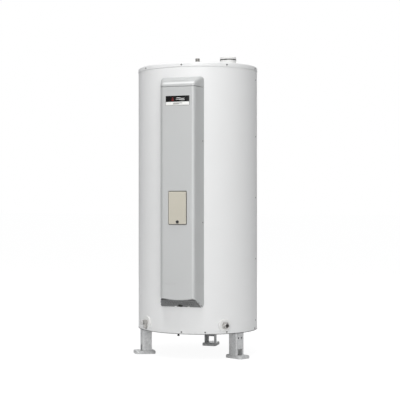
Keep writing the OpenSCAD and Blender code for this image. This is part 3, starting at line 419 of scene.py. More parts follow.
def zinc_coat():
    """Hot-dip zinc: flat crystal spangles a few millimetres across, each with its own tone and dullness,
    under a fine frosting and a cloudy grey bloom."""
    group, place, given = surface_group("zinc_coat", {
        "Tone": (0.5, 0.5, 0.5, 1), "Dullness": 0.45, "Spangle Scale": 140.0, "Contrast": 1.0})
    drift = added(group, "ShaderNodeTexNoise", {"Vector": place, "Scale": 70.0})
    warp = added(group, "ShaderNodeVectorMath", {
        0: drift.outputs["Color"], 1: (0.006, 0.006, 0.006), 2: place}, operation="MULTIPLY_ADD")
    _, shade = cells(group, warp.outputs["Vector"], given["Spangle Scale"])
    frost = noise(group, place, 900.0)
    bloom = noise(group, place, 22.0, 5.0, 0.6)
    per_crystal = sums(group, ranged(group, shade["Red"], -0.10, 0.10), given["Contrast"], operation="MULTIPLY")
    value = sums(group, per_crystal, ranged(group, bloom, 0.84, 1.12), ranged(group, frost, -0.03, 0.03))
    dull = sums(group, given["Dullness"], ranged(group, shade["Green"], -0.10, 0.10),
                ranged(group, bloom, 0.10, -0.08))
    return surfaced(group, given["Tone"], value, dull, sums(group, frost, shade["Blue"]))


zinc = zinc_coat()
galvanised = coated("galvanised_steel", zinc, (0.64, 0.645, 0.645), {"Dullness": 0.50}, 0.00002, metallic=0.30)
# Painted shade: the screws' zinc is given tone 0.24, far darker than plated zinc, so the heads read as dark
# dots.
screw_zinc_painted_shade = coated("zinc_screws", zinc, (0.24, 0.24, 0.24), {
    "Dullness": 0.36, "Spangle Scale": 900.0, "Contrast": 0.4}, 0.000005, metallic=1.0)

pan_low, pan_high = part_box("base_pan")
pan_r, pan_z0, pan_z1 = pan_high.x, pan_low.z, pan_high.z
pan_t, pan_rise, pan_rise_r = 0.0015, 0.003, 0.20
flange_r = casing_r - sheet - 0.0003


def pan_floor(radius):
    """Flat, with a broad middle pressed up inside the legs over a soft edge."""
    return pan_z0 + pan_rise / (1 + np.exp((radius - pan_rise_r) / 0.0025))


floor_r = np.concatenate([
    np.linspace(0, 0.185, 6, endpoint=False), np.linspace(0.185, 0.215, 14, endpoint=False),
    np.linspace(0.215, pan_r - 0.001, 7)])
under = np.stack([floor_r, pan_floor(floor_r)], axis=1)
pan_section = np.concatenate([
    under, arc((pan_r - 0.001, pan_z0 + 0.001), 0.001, -70, 90, 7),
    [[flange_r, pan_z0 + 0.002], [flange_r, pan_z1 - 0.0004]],
    arc((flange_r - 0.00075, pan_z1 - 0.00075), 0.00075, 0, 180, 5),
    [[flange_r - pan_t, pan_z0 + 0.004]],
    arc((flange_r - pan_t - 0.002, pan_z0 + 0.004), 0.002, 0, -90, 5)[1:],
    (under[::-1] + [0, pan_t])[3:]])
base_tray = formed("base_tray", [turned(pan_section, 200)])
# Painted shade: the pan's zinc is given tone 0.16 against the legs' 0.64, so its edge under the casing reads
# dark.
zinc_with_painted_shade = coated("base_zinc_painted_shade", zinc, (0.16, 0.16, 0.16), {"Dullness": 0.55}, 0.00002, metallic=0.35)
dressed(base_tray, zinc_with_painted_shade, "galvanised_steel", "base_pan")


# ------------------------------------------------------------------ legs
# Three legs of 3.2 mm galvanised steel. Each is a channel bent from one punched strip, welded to a pressed foot
# with a turned-down rim and a drawn anchor hole, and to a top plate that two bolts hold to the tank's ring.
leg_steel = 0.0032
leg_face = 0.341
leg_half_w, leg_depth, leg_bend = 0.032, 0.056, 0.005
foot_half_w, foot_half_l, foot_corner, foot_h = 0.043, 0.0605, 0.018, 0.018
foot_mid = -leg_face - 0.042 + foot_half_l
anchor_y, anchor_r = -0.360, 0.0086
web_slot = (0, 0.0345, 0.0175, 0.0165, 0.004)
web_hole_x, web_hole_z, web_hole_r = 0.0125, 0.1156, 0.006
plate_bend_y, plate_back_y = -0.280, -0.236
bolt_x, bolt_y, bolt_hole_r = 0.02, -0.258, 0.0065
leg_top = pan_z0
leg_bearings = (-60, 60, 180)


def eased(low, high, count):
    """count points from low to high, closer together near both ends."""
    return low + (high - low) * (1 - np.cos(np.linspace(0, math.pi, count))) / 2


def frame_of(u, v):
    """The points round a cell's border once, closed, as (x, y), from its spacings along both sides."""
    border = [(u, np.full(len(u), v[0])), (np.full(len(v) - 1, u[-1]), v[1:]),
              (u[-2::-1], np.full(len(u) - 1, v[-1])), (np.full(len(v) - 1, u[0]), v[-2::-1])]
    return np.stack([np.concatenate([part[k] for part in border]) for k in (0, 1)], axis=1)


def rounded(square, half_w, half_h, radius):
    """Points of a square's border (-1 to 1) carried onto a rectangle with round corners. Past its straight
    part a point moves onto the corner's circle along the line to that circle's centre."""
    point = square * [half_w, half_h]
    reach = np.array([half_w, half_h]) - radius
    core = np.clip(point, -reach, reach)
    out = point - core
    length = np.linalg.norm(out, axis=-1, keepdims=True)
    return np.where(length > 1e-9, core + out * radius / np.maximum(length, 1e-9), point)


def plain_cell(u, v):
    """A flat grid of (x, y) points."""
    return np.stack(np.meshgrid(u, v, indexing="ij"), axis=-1)


def holed_cell(u, v, hole, rings=4):
    """A flat cell with a round-cornered hole (x, y, half width, half height, radius): rings of points that
    run from the cell's border to the hole's."""
    border = frame_of(u, v)
    middle = np.array([(u[0] + u[-1]) / 2, (v[0] + v[-1]) / 2])
    half = np.array([(u[-1] - u[0]) / 2, (v[-1] - v[0]) / 2])
    square = (border - middle) / half
    edge = np.array(hole[:2]) + rounded(square, *hole[2:])
    share = np.linspace(0, 1, rings + 1)[:, None, None] ** 0.8
    return border + (edge - border) * share


def lifted(grid, height):
    """Flat (x, y) points given one height."""
    return np.concatenate([grid, np.full(grid.shape[:-1] + (1,), height)], axis=-1)


def bent_strip(grid, straight, radius, lead):
    """A flat strip of (along, height) points bent to a channel: straight in the middle, then a quarter
    circle, then straight back, on both sides. lead is the y of its middle part."""
    along, height = grid[..., 0], grid[..., 1]
    run = np.abs(along)
    angle = np.clip((run - straight) / radius, 0, math.pi / 2)
    back = np.maximum(run - straight - radius * math.pi / 2, 0)
    x = np.minimum(run, straight) + radius * np.sin(angle)
    return np.stack([np.sign(along) * x, lead + radius * (1 - np.cos(angle)) + back, height], axis=-1)


def with_wall(piece, thickness, edge):
    """Gives an open sheet its thickness, half to each side, and breaks its cut edges."""
    wall = piece.modifiers.new("wall", "SOLIDIFY")
    wall.thickness = thickness
    wall.offset = 0.0
    return broken_edges(piece, edge)


def broken_edges(piece, edge, sharp_deg=40):
    """Rounds edges that turn by more than an angle."""
    bevel = piece.modifiers.new("edges", "BEVEL")
    bevel.width = edge
    bevel.segments = 2
    bevel.limit_method = "ANGLE"
    bevel.angle_limit = math.radians(sharp_deg)
    bevel.harden_normals = True
    return piece


def turned_round(piece, bearing_deg):
    """Carries a piece's mesh round the tank's axis."""
    turn = math.radians(bearing_deg)
    points = np.empty(len(piece.data.vertices) * 3)
    piece.data.vertices.foreach_get("co", points)
    points = points.reshape(-1, 3)
    spin = np.array([[math.cos(turn), -math.sin(turn), 0], [math.sin(turn), math.cos(turn), 0], [0, 0, 1]])
    piece.data.vertices.foreach_set("co", (points @ spin.T).ravel())
    piece.data.update()
    return piece


def leg_sheets():
    """The strip with its slot and two round holes, the foot, and the top plate, all on their middle
    planes."""
    middle = leg_bend - leg_steel / 2
    straight = leg_half_w - leg_bend
    bend = middle * math.pi / 2
    web = np.concatenate([np.linspace(-straight, 0, 10), np.linspace(0, straight, 10)[1:]])
    curve = np.linspace(straight, straight + bend, 7)
    flange = np.linspace(straight + bend, straight + bend + leg_depth - leg_bend, 5)
    rows = [eased(foot_h - 0.001, 0.060, 22), np.linspace(0.060, 0.104, 5),
            np.linspace(0.104, 0.127, 10), np.linspace(0.127, leg_top - 0.004, 3)]
    flat = [plain_cell(u, v) for v in rows for u in (curve, flange, -curve[::-1], -flange[::-1])]
    flat += [holed_cell(web, rows[0], web_slot), plain_cell(web, rows[1])]
    for side, half_web in ((-1, web[:10]), (1, web[9:])):
        flat.append(holed_cell(half_web, rows[2], (side * web_hole_x, web_hole_z, *[web_hole_r] * 3)))
    flat.append(plain_cell(web, rows[3]))
    strip = [bent_strip(grid, straight, middle, -leg_face + leg_steel / 2) for grid in flat]

    side = eased(-1, 1, 24)
    square = frame_of(side, side)
    half = leg_steel / 2
    press = 0.0045
    fall = np.radians(np.linspace(0, 90, 7))
    rim = []
    for inset, height in [(half, 0.0), (half, foot_h - press - half)] + [
            (half + press * (1 - math.cos(a)), foot_h - half - press * (1 - math.sin(a))) for a in fall]:
        ring = rounded(square, foot_half_w - inset, foot_half_l - inset, foot_corner - inset)
        rim.append(lifted(ring + [0, foot_mid], height))
    last = rim[-1][:, :2]
    ring = np.array([0, anchor_y]) + rounded(square, *[anchor_r] * 3)
    for share in (0.3, 0.6, 0.8, 0.93):
        rim.append(lifted(last + (ring - last) * share, foot_h - half))
    for grow, drop in ((0.0015, 0.0), (0.0005, 0.0006), (0.0, 0.002), (0.0, foot_h - 2 * half)):
        ring = rounded(square, *[anchor_r + grow] * 3)
        rim.append(lifted(ring + [0, anchor_y], foot_h - half - drop))
    foot = np.stack(rim)

    plate_x = np.concatenate([np.linspace(-leg_half_w, 0, 9), np.linspace(0, leg_half_w, 9)[1:]])
    deep = np.linspace(plate_bend_y, plate_back_y, 9)
    plate = [plain_cell(plate_x, np.linspace(-leg_face, plate_bend_y, 4))]
    for side, half_plate in ((-1, plate_x[:9]), (1, plate_x[8:])):
        plate.append(holed_cell(half_plate, deep, (side * bolt_x, bolt_y, *[bolt_hole_r] * 3)))
    return [*strip, foot, *(lifted(grid, leg_top - 0.0021) for grid in plate)]


for leg_name, bearing in zip(("leg_front_left", "leg_front_right", "leg_rear"), leg_bearings):
    leg = turned_round(formed(leg_name + "_pressing", leg_sheets()), bearing)
    with_wall(leg, leg_steel, 0.0006)
    dressed(leg, galvanised, "galvanised_steel", leg_name)


# ------------------------------------------------------------------ leg bolts and nuts
# Six M12 bolts with hexagon heads hold the legs up against the tank's ring. They are stainless, turned and
# tumbled.
def softened(node, edge, sharp_deg=35):
    """A merged copy of a CAD node in its place, with its coplanar triangles made one face and its sharp edges
    rounded to a radius."""
    mesh = frame["nodes"][node].data.copy()
    mesh.name = node + "_finished"
    work = bmesh.new()
    work.from_mesh(mesh)
    bmesh.ops.remove_doubles(work, verts=work.verts, dist=same_point)
    bmesh.ops.dissolve_limit(work, angle_limit=math.radians(0.8), verts=work.verts, edges=work.edges)
    bmesh.ops.recalc_face_normals(work, faces=work.faces)
    work.to_mesh(mesh)
    work.free()
    smoothed(mesh, sharp_deg)
    piece = in_scene(mesh.name, mesh)
    return broken_edges(piece, edge, sharp_deg) if edge else piece


def kept(node, edge, material, slot):
    """A CAD node kept in its place with rounded edges, dressed, and riding on the node's own body."""
    return dressed(softened(node, edge), material, slot, node, body=frame["nodes"][node]["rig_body"])


def worked_metal():
    """Turned or drawn metal: fine tool lines square to an axis, a faint dullness in patches, and handling
    marks."""
    group, place, given = surface_group("worked_metal", {
        "Tone": (0.6, 0.6, 0.6, 1), "Dullness": 0.3, "Line Scale": (20, 20, 2500)})
    stretched = added(group, "ShaderNodeVectorMath", {0: place, 1: given["Line Scale"]}, operation="MULTIPLY")
    lines = noise(group, stretched.outputs["Vector"], 1.0, 3.0, 0.6)
    patches = noise(group, place, 90.0, 4.0, 0.6)
    value = sums(group, ranged(group, lines, 0.95, 1.04), ranged(group, patches, -0.10, 0.07))
    dull = sums(group, given["Dullness"], ranged(group, patches, -0.08, 0.14),
                ranged(group, lines, -0.04, 0.04))
    return surfaced(group, given["Tone"], value, dull, lines)


worked = worked_metal()
stainless = coated("stainless_steel", worked, (0.60, 0.60, 0.59), {"Dullness": 0.30}, 0.000004, metallic=1.0)

for node in ("leg_bolts", "leg_nuts"):
    kept(node, 0.0006, stainless, "stainless_steel")


# ------------------------------------------------------------------ sheet-metal screws
# Zinc-plated pan-head screws with cross recesses: eight round the cap, nine round the base, five down each side
# seam, and four on each side of the cover.
def screw_head(radius, height, seed):
    """A dome over a disc, height (1 - (r / R)^2.6)^0.5, with a cross-shaped recess cut by two narrow bell
    curves, each at its own angle. Its wall goes down to its seat. Points are (across, up, out)."""
    share = np.concatenate([
        np.linspace(0, 0.55, 12), np.linspace(0.55, 0.985, 9)[1:], [1.0, 1.0, 0.0]])[:, None]
    turn = np.linspace(0, 2 * math.pi, 49)[None, :]
    x, y = share * np.cos(turn), share * np.sin(turn)
    dome = 0.35 * height + 0.65 * height * np.sqrt(np.clip(1 - share ** 2.6, 0, 1)) + 0 * turn
    arms = [np.exp(-(p / 0.10) ** 4) / (1 + np.exp((np.abs(q) - 0.47) / 0.035)) for p, q in ((x, y), (y, x))]
    dome = dome - 0.62 * height * np.maximum(*arms)
    dome[-2:] = -0.0004
    spin = np.random.default_rng(seed).uniform(0, math.pi)
    head = np.stack([radius * (x * math.cos(spin) - y * math.sin(spin)),
                     radius * (x * math.sin(spin) + y * math.cos(spin)), dome], axis=-1)
    head[:, -1] = head[:, 0]
    return head


def placed(points, origin, across, up, out):
    """Local (across, up, out) points carried into the heater's frame."""
    return np.asarray(origin) + points @ np.stack([across, up, out]).astype(float)


def on_wall(points, bearing_deg, radius, height):
    """Local (across, up, out) points stood on a round wall at a bearing from the front."""
    turn = math.radians(bearing_deg)
    out = np.array([math.sin(turn), -math.cos(turn), 0])
    return placed(points, out * radius + [0, 0, height], (math.cos(turn), math.sin(turn), 0), (0, 0, 1), out)


rim_bearings = (-129, -86, -43, 0, 43, 86, 129, 180)
base_bearings = (*rim_bearings[:4], 22, *rim_bearings[4:])
seam_bearing, seam_heights = 89, (0.202, 0.560, 0.915, 1.270, 1.600)
big_head, small_head = (0.0046, 0.0026), (0.0036, 0.0018)
screw_sets = {
    "cap_screws": [on_wall(screw_head(*big_head, k), bearing, cap_r, cap_z1 - 0.014)
                   for k, bearing in enumerate(rim_bearings)],
    "rim_screws": [on_wall(screw_head(*big_head, 20 + k), bearing, casing_r, pan_z0 + 0.012)
                   for k, bearing in enumerate(base_bearings)],
    "seam_screws": [on_wall(screw_head(*small_head, 40 + k), side * seam_bearing, casing_r, z)
                    for side in (-1, 1) for k, z in enumerate(seam_heights)],
}
for node, heads in screw_sets.items():
    dressed(formed(node + "_heads", heads), screw_zinc_painted_shade, "zinc_screws", node)


# ------------------------------------------------------------------ front cover
# Three pressings of grey-enamelled sheet over the controls: a long main part with the window opening, a short
# lower part with a bowed and rolled front edge, and a top piece with a rounded brow. They butt together at two
# seams.
cover_low, cover_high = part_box("cover_main")
cover_face = -cover_low.y
cover_z1, cover_z2 = cover_low.z, cover_high.z
cover_foot_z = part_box("cover_lower")[0].z
cover_t = 0.0025
corner_r, corner_x = 0.022, 0.082
corner_y = cover_face - corner_r
foot_x = 0.1255
foot_y = math.sqrt(casing_r ** 2 - foot_x ** 2)
lean_x, lean_y = foot_x - corner_x, corner_y - foot_y
lean = math.atan2(lean_y, lean_x) + math.asin(corner_r / math.hypot(lean_x, lean_y)) - math.pi / 2
side_run = np.array([-math.sin(lean), math.cos(lean)])


def side_start(inset):
    """Where the right-hand side leaves its round corner, on a path drawn in by inset."""
    return np.array([corner_x, -corner_y]) + (corner_r - inset) * np.array([math.cos(lean), math.sin(lean)])


def side_length(inset, gap=0.0006):
    """How far the side runs back from there until it is a gap away from the casing: the far root of |start +
    s run| = casing radius + gap."""
    start = side_start(inset)
    along = start @ side_run
    return -along - math.sqrt(along ** 2 - start @ start + (casing_r + gap) ** 2)


window_mid_z, window_half_w, window_half_h, window_corner = 0.858, 0.0535, 0.0945, 0.006
front_x = np.concatenate([
    np.linspace(-corner_x, -window_half_w, 8)[:-1], eased(-window_half_w, window_half_w, 30),
    np.linspace(window_half_w, corner_x, 8)[1:]])
corner_turn = np.linspace(math.pi / 2, -lean, 11)
side_share = np.concatenate([np.linspace(0, 0.7, 8), 0.7 + 0.3 * np.sin(np.linspace(0, math.pi / 2, 10))[1:]])


def cover_path(inset):
    """Plan of the cover drawn in by inset: the left side, a round corner, the front, a round corner, the
    right side. Also the direction outwards at each point."""
    start, length = side_start(inset), side_length(inset)
    side = start + side_share[:, None] * length * side_run
    corner_out = np.stack([np.cos(corner_turn), -np.sin(corner_turn)], axis=1)
    corner = np.array([corner_x, -corner_y]) + (corner_r - inset) * corner_out
    right = np.concatenate([corner[1:], side[1:]])
    right_out = np.concatenate([corner_out[1:], np.broadcast_to(corner_out[-1], side[1:].shape)])
    front = np.stack([front_x, np.full_like(front_x, -cover_face + inset)], axis=1)
    front_out = np.broadcast_to([0.0, -1.0], front.shape)
    mirror = np.array([-1.0, 1.0])
    return (np.concatenate([right[::-1] * mirror, front, right]),
            np.concatenate([right_out[::-1] * mirror, front_out, right_out]))


middle_path, middle_out = cover_path(cover_t / 2)
first_front = len(middle_path) // 2 - len(front_x) // 2
after_front = first_front + len(front_x)


def raised(path, heights):
    """A plan path stood up: columns are its points, rows are heights, either the same for all or one for
    each."""
    heights = np.asarray(heights)
    if heights.ndim == 1:
        heights = np.broadcast_to(heights[:, None], (len(heights), len(path)))
    return np.concatenate([np.broadcast_to(path, heights.shape + (2,)), heights[..., None]], axis=-1)


seam_gap = 0.0006
beside_z0, beside_z1 = 0.725, 0.991
below = np.linspace(cover_z1 + 0.0002, beside_z0, 16)
beside = eased(beside_z0, beside_z1, 36)
above = np.linspace(beside_z1, cover_z2 - 0.0018, 26)
main_grids = [raised(middle_path, below), raised(middle_path, above),
              raised(middle_path[:first_front + 1], beside), raised(middle_path[after_front - 1:], beside)]
window_cell = holed_cell(front_x, beside, (0, window_mid_z, window_half_w, window_half_h, window_corner), 6)
main_grids.append(np.insert(window_cell, 1, -cover_face + cover_t / 2, axis=-1))
grey_enamel = coated("grey_enamel", enamel, (0.555, 0.563, 0.56), {
    "Gloss": 0.47, "Peel Scale": 480.0}, 0.00002, metallic=0.3, specular=0.4)
cover_body = with_wall(formed("cover_body", main_grids, (0, 0, 0.9)), cover_t, 0.0011)
dressed(cover_body, grey_enamel, "grey_enamel", "cover_main")

brow_r, brow_z, brow_in = 0.017, 1.56465, 0.016
brow_slope, brow_soft = math.tan(math.radians(25)), 0.003
hood_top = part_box("cover_top")[1].z


def hood_height(y):
    """The hood's slope up to the casing, eased into a level top: a smooth minimum of the two."""
    slope = brow_z + brow_slope * (y + cover_face - brow_in)
    level = hood_top - 0.001
    return level - brow_soft * np.log(np.exp((level - slope) / brow_soft) + 1)


def hood_skin(inset):
    """The upright wall, then a quarter-round fillet to the slope: at a distance d in from the plan's outline
    its height is slope(y) - R + sqrt(R^2 - (R - d)^2). Inside that, a patch spanned between the fillet's edge
    and the casing's curve, which lies on the slope."""
    radius = brow_r - inset
    path, _ = cover_path(inset)
    top = hood_height(path[:, 1]) - brow_r
    bottom = cover_z2 + seam_gap
    rows = [np.concatenate([path, (bottom + (top - bottom) * share)[:, None]], axis=1)
            for share in np.linspace(0, 1, 4)]
    for angle in np.radians(np.linspace(0, 90, 14))[1:]:
        path, _ = cover_path(inset + radius * (1 - math.cos(angle)))
        height = hood_height(path[:, 1]) - brow_r + radius * math.sin(angle)
        rows.append(np.concatenate([path, height[:, None]], axis=1))
    wall = np.stack(rows)
    rim = wall[-1][:, :2]
    left, front, right = rim[:first_front + 1][::-1], rim[first_front:after_front], rim[after_front - 1:]
    ends = np.arctan2(left[-1, 0], -left[-1, 1]), np.arctan2(right[-1, 0], -right[-1, 1])
    w = ((front[:, 0] - front[0, 0]) / (front[-1, 0] - front[0, 0]))[:, None, None]
    v = np.concatenate([[0], np.cumsum(np.linalg.norm(np.diff(left, axis=0), axis=1))])
    v = (v / v[-1])[None, :, None]
    bearing = (ends[0] + (ends[1] - ends[0]) * w[:, 0, 0])
    reach = np.linalg.norm(left[-1])
    back = np.stack([reach * np.sin(bearing), -reach * np.cos(bearing)], axis=1)
    patch = ((1 - v) * front[:, None] + v * back[:, None] + (1 - w) * left[None] + w * right[None]
             - (1 - w) * (1 - v) * front[0] - w * (1 - v) * front[-1] - (1 - w) * v * back[0] - w * v * back[-1])
    height = hood_height(patch[..., 1]) - inset
    height[:, 0] = hood_height(front[:, 1]) - inset
    height[0], height[-1] = hood_height(left[:, 1]) - inset, hood_height(right[:, 1]) - inset
    return [wall, np.concatenate([patch, height[..., None]], axis=-1)]


hood = with_wall(formed("cover_hood", hood_skin(cover_t / 2), (0, -0.25, 1.45)), cover_t, 0.0008)
dressed(hood, grey_enamel, "grey_enamel", "cover_top")

chin_z, chin_drop = 0.351, 0.014
bow_r = ((corner_x + corner_r) ** 2 + chin_drop ** 2) / (2 * chin_drop)
heel_r, heel_y, heel_z = 0.008, -0.348, cover_foot_z + 0.008
heel_start = np.array([heel_y, heel_z]) - heel_r * math.sqrt(0.5)
heel_slope = (chin_z - heel_start[1]) / (cover_face + heel_start[0])
rear_y, rear_turn_r = middle_path[-1, 1], 0.020
front_to_side = 0.020


def lower_edge(path):
    """Height of the lower cover's bottom edge: the front bows down in the middle as a circle's arc, and the
    sides run back down a slope to a round heel, and turn up again in a quarter circle at the casing."""
    x, y = np.abs(path[:, 0]), path[:, 1]
    bow = chin_z - 0.007 + bow_r - np.sqrt(bow_r ** 2 - np.minimum(x, corner_x) ** 2)
    slope = chin_z - heel_slope * (y + cover_face)
    past_heel = np.clip(y - heel_y, -heel_r * math.sqrt(0.5), 0)
    heel = heel_z - np.sqrt(np.clip(heel_r ** 2 - past_heel ** 2, 0, None))
    turn_up = np.clip(y - (rear_y - rear_turn_r), 0, rear_turn_r)
    rise = rear_turn_r - np.sqrt(np.clip(rear_turn_r ** 2 - turn_up ** 2, 0, None))
    side = np.where(y > heel_start[0], heel + rise * 0.999, slope)
    turn = smooth_step((x - corner_x) / front_to_side)
    return bow * (1 - turn) + side * turn


roll_r = 0.004
low_edge = lower_edge(middle_path) + roll_r * (np.abs(middle_path[:, 0]) < corner_x + front_to_side)
rows = [raised(middle_path, (low_edge + (cover_z1 - 0.0001 - low_edge) * s)[None])[0]
        for s in (1, 0.985, 0.8, 0.6, 0.4, 0.25, 0.12, 0.05, 0)]
roll_end_x, roll_fade = corner_x + 0.019, 0.012
rolls = np.clip((roll_end_x - np.abs(middle_path[:, 0])) / roll_fade, 0, 1)[:, None]
for angle in np.radians(np.linspace(0, 82, 8))[1:]:
    inwards = middle_path - middle_out * roll_r * (1 - math.cos(angle)) * rolls
    height = low_edge - roll_r * math.sin(angle) * rolls[:, 0]
    rows.append(np.concatenate([inwards, height[:, None]], axis=1))
cover_foot = with_wall(formed("cover_foot", [np.stack(rows)], (0, 0, 0.4)), cover_t, 0.0008)
dressed(cover_foot, grey_enamel, "grey_enamel", "cover_lower")


# ------------------------------------------------------------------ chin, cable grommet and cover screws
# A slotted plate slopes back under the cover's front and is notched along its foot. It is moulded grey plastic
# with a spark-eroded grain, darkened further with painted shade. A rubber grommet lines its cable entry, and
# four screws hold each side of the cover.
def moulded_plastic():
    """Moulded plastic: a fine even grain, broad faint flow patches, and rubbed places that shine a little
    more."""
    group, place, given = surface_group("moulded_plastic", {
        "Tone": (0.5, 0.5, 0.5, 1), "Dullness": 0.45, "Grain Scale": 1400.0})
    grain = noise(group, place, given["Grain Scale"], 3.0, 0.6)
    flow = noise(group, place, 14.0, 4.0, 0.55)
    rubbed = noise(group, place, 70.0, 5.0, 0.7)
    value = sums(group, ranged(group, flow, 0.965, 1.03), ranged(group, grain, -0.02, 0.02))
    dull = sums(group, given["Dullness"], ranged(group, flow, -0.04, 0.05),
                ranged(group, rubbed, 0.0, -0.08, 0.55, 0.75))
    return surfaced(group, given["Tone"], value, dull, grain)


def plastic(name, tone, dullness, grain_scale=1400.0, relief=0.00001, specular=0.5):
    """One moulded plastic, rubber or lacquer of a tone."""
    settings = {"Dullness": dullness, "Grain Scale": grain_scale}
    return coated(name, plastics, tone, settings, relief, specular=specular)


plastics = moulded_plastic()
# The chin's grey plastic is given tone 0.15, darker than its own colour: partly painted shade for its place
# under the cover.
chin_plastic_painted_shade = plastic("dark_grey_plastic", (0.15, 0.154, 0.154), 0.55)
black_rubber = plastic("black_rubber", (0.022, 0.022, 0.022), 0.62, 900.0, 0.00002)

chin_foot_y, chin_foot_z, chin_t = -0.356, cover_foot_z + 0.001, 0.0025
chin_up = np.array([0, -(cover_face - 0.010 + chin_foot_y), chin_z - 0.010 - cover_foot_z])
chin_length = float(np.linalg.norm(chin_up))
chin_up = chin_up / chin_length
chin_out = np.array([0, -chin_up[2], chin_up[1]])
chin_foot = np.array([0, chin_foot_y, chin_foot_z]) + chin_out * chin_t / 2
entry_up, entry_r = 0.22, 0.011
chin_slot, slot_corner, slot_shift = (0.0050, 0.0030), 0.0015, 0.0020


def chin_half_width(up):
    """Half the plate's width at a distance up its slope: out to the cover's inner side, or to the inside of
    its round corner further forward."""
    inset = cover_t + 0.0002
    y = chin_foot[1] + np.asarray(up) * chin_up[1]
    start = side_start(inset)
    along_side = start[0] + (y - start[1]) * side_run[0] / side_run[1]
    in_corner = corner_x + np.sqrt(np.clip((corner_r - inset) ** 2 - (y + corner_y) ** 2, 0, None))
    return np.where(y > start[1], along_side, in_corner)


def chin_sheet():
    """Cells of 15 mm, each band of them with its own heights: plain, slotted, or left out for a notch. One
    wide cell has the cable hole. Flat points (x, up) are then carried onto the slope."""
    x_lines = np.arange(-5.5, 6) * 0.015
    bands = np.array([0.0008, 0.009, 0.0245, 0.0389, 0.0532, 0.0676, chin_length - 0.0005])
    flat = []
    steps = [np.linspace(a, b, 6) for a, b in zip(bands[:-1], bands[1:])]
    for band, up in enumerate(steps):
        for k, (left, right) in enumerate(zip(x_lines[:-1], x_lines[1:])):
            across = np.linspace(left, right, 7)
            if (band < 3 and 4 <= k <= 6) or (band == 0 and k in (3, 8)):
                continue
            if band in (2, 3, 4):
                middle = (left + right) / 2 + (slot_shift if band == 3 else 0)
                flat.append(holed_cell(across, up, (middle, (up[0] + up[-1]) / 2, *chin_slot, slot_corner), 2))
            else:
                flat.append(plain_cell(across, up))
        reach = chin_half_width(up)
        for side in (-1, 1):
            share = np.linspace(0, 1, 5)[:, None]
            x = side * (-x_lines[0] + (reach + x_lines[0]) * share)
            flat.append(np.stack([x, np.broadcast_to(up, x.shape)], axis=-1))
    wide = [np.linspace(left, right, 7) for left, right in zip(x_lines[4:7], x_lines[5:8])]
    wide, tall = (np.unique(np.concatenate(lines).round(7)) for lines in (wide, steps[:3]))
    flat.append(holed_cell(wide, tall, (0, entry_up * chin_length, *[entry_r] * 3), 6))
    return [chin_foot + grid[..., :1] * np.array([1.0, 0, 0]) + grid[..., 1:] * chin_up for grid in flat]


chin = with_wall(formed("chin_plate", chin_sheet(), (0, 0, 0.9)), chin_t, 0.0004)
dressed(chin, chin_plastic_painted_shade, "dark_grey_plastic", "cover_chin")
kept("cable_grommet", 0.0008, black_rubber, "black_rubber")

side_tangent = math.sqrt(lean_x ** 2 + lean_y ** 2 - corner_r ** 2)
screw_places = ((0.83, 0.775), (0.83, 1.232), (0.62, 0.310), (0.33, 0.327))
cover_heads = []
for side in (-1, 1):
    flip = np.array([side, 1, 1])
    across, out = np.array([*side_run, 0]) * flip, np.array([math.cos(lean), math.sin(lean), 0]) * flip
    for k, (share, height) in enumerate(screw_places):
        seat = np.array([*(side_start(0) + share * side_tangent * side_run), height]) * flip
        head = screw_head(0.004, 0.002, 60 + k + 4 * (side > 0))
        cover_heads.append(placed(head, seat, across, (0, 0, 1), out))
dressed(formed("cover_screw_heads", cover_heads), screw_zinc_painted_shade, "zinc_screws", "cover_screws")


# ------------------------------------------------------------------ badge
# A thin plate high on the cover: a black upper band over a white lower one, with a plain red drop and two light
# waves in place of any name. It is gloss lacquer over foil.
def raised_shape(outline, back, front, edge):
    """A flat shape standing off the cover: an outline (x, height) round its own middle, from one distance
    from the axis to another, whose front edge is rounded off inwards by edge as a quarter circle."""
    outline = closed(np.asarray(outline))
    middle = (outline.min(axis=0) + outline.max(axis=0)) / 2
    half = (outline.max(axis=0) - outline.min(axis=0)) / 2
    rows = [(np.zeros(2), back), (np.ones(2), back)]
    for angle in np.radians(np.linspace(0, 90, 4)):
        rows.append((1 - edge * (1 - math.cos(angle)) / half, front - edge + edge * math.sin(angle)))
    rows.append((np.zeros(2), front))
    grid = np.stack([middle + (outline - middle) * shrink for shrink, _ in rows])
    away = np.array([reach for _, reach in rows])[:, None]
    return np.stack([grid[..., 0], np.broadcast_to(-away, grid.shape[:2]), grid[..., 1]], axis=-1)


def plate_outline(x, z, half_w, half_h, radius):
    """A rectangle with round corners about (x, z)."""
    side = eased(-1, 1, 14)
    square = frame_of(side, side)[:-1]
    return np.array([x, z]) + rounded(square, half_w, half_h, radius)


def wave(x0, x1, z, swing, half_w, back, front):
    """A ribbon z + swing sin(2 pi (x - x0) / (x1 - x0)) of even width, tapered at both ends."""
    share = np.linspace(0, 1, 49)[:, None]
    wide = half_w * np.sqrt(np.clip(1 - (2 * share - 1) ** 6, 0.0001, 1))
    side = front - 0.0001
    ring = closed(np.array([[-1, back], [1, back], [1, side], [0.8, front], [-0.8, front], [-1, side]]))
    x = x0 + (x1 - x0) * share + 0 * ring[:, 0]
    height = z + swing * np.sin(2 * math.pi * share) + wide * ring[:, 0]
    tube = np.stack([x, -np.broadcast_to(ring[:, 1], x.shape), height], axis=-1)
    return [tube, *end_caps(tube)]


badge_low, badge_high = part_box("badge_plate")
badge_back, badge_front = -badge_high.y, -badge_low.y
badge_mid_z, badge_half_w = (badge_low.z + badge_high.z) / 2, badge_high.x
badge_half_h, badge_rim = (badge_high.z - badge_low.z) / 2, 0.0012
band_z = badge_low.z + 0.38 * (badge_high.z - badge_low.z)
badge_skin = badge_front - 0.00005
lacquer = (0.20, 600.0, 0.000002)
badge_black = plastic("badge_black", (0.006, 0.006, 0.006), *lacquer, specular=0.2)
badge_white = plastic("badge_white", (0.86, 0.86, 0.84), *lacquer)
badge_red = plastic("badge_red", (0.13, 0.008, 0.008), *lacquer)

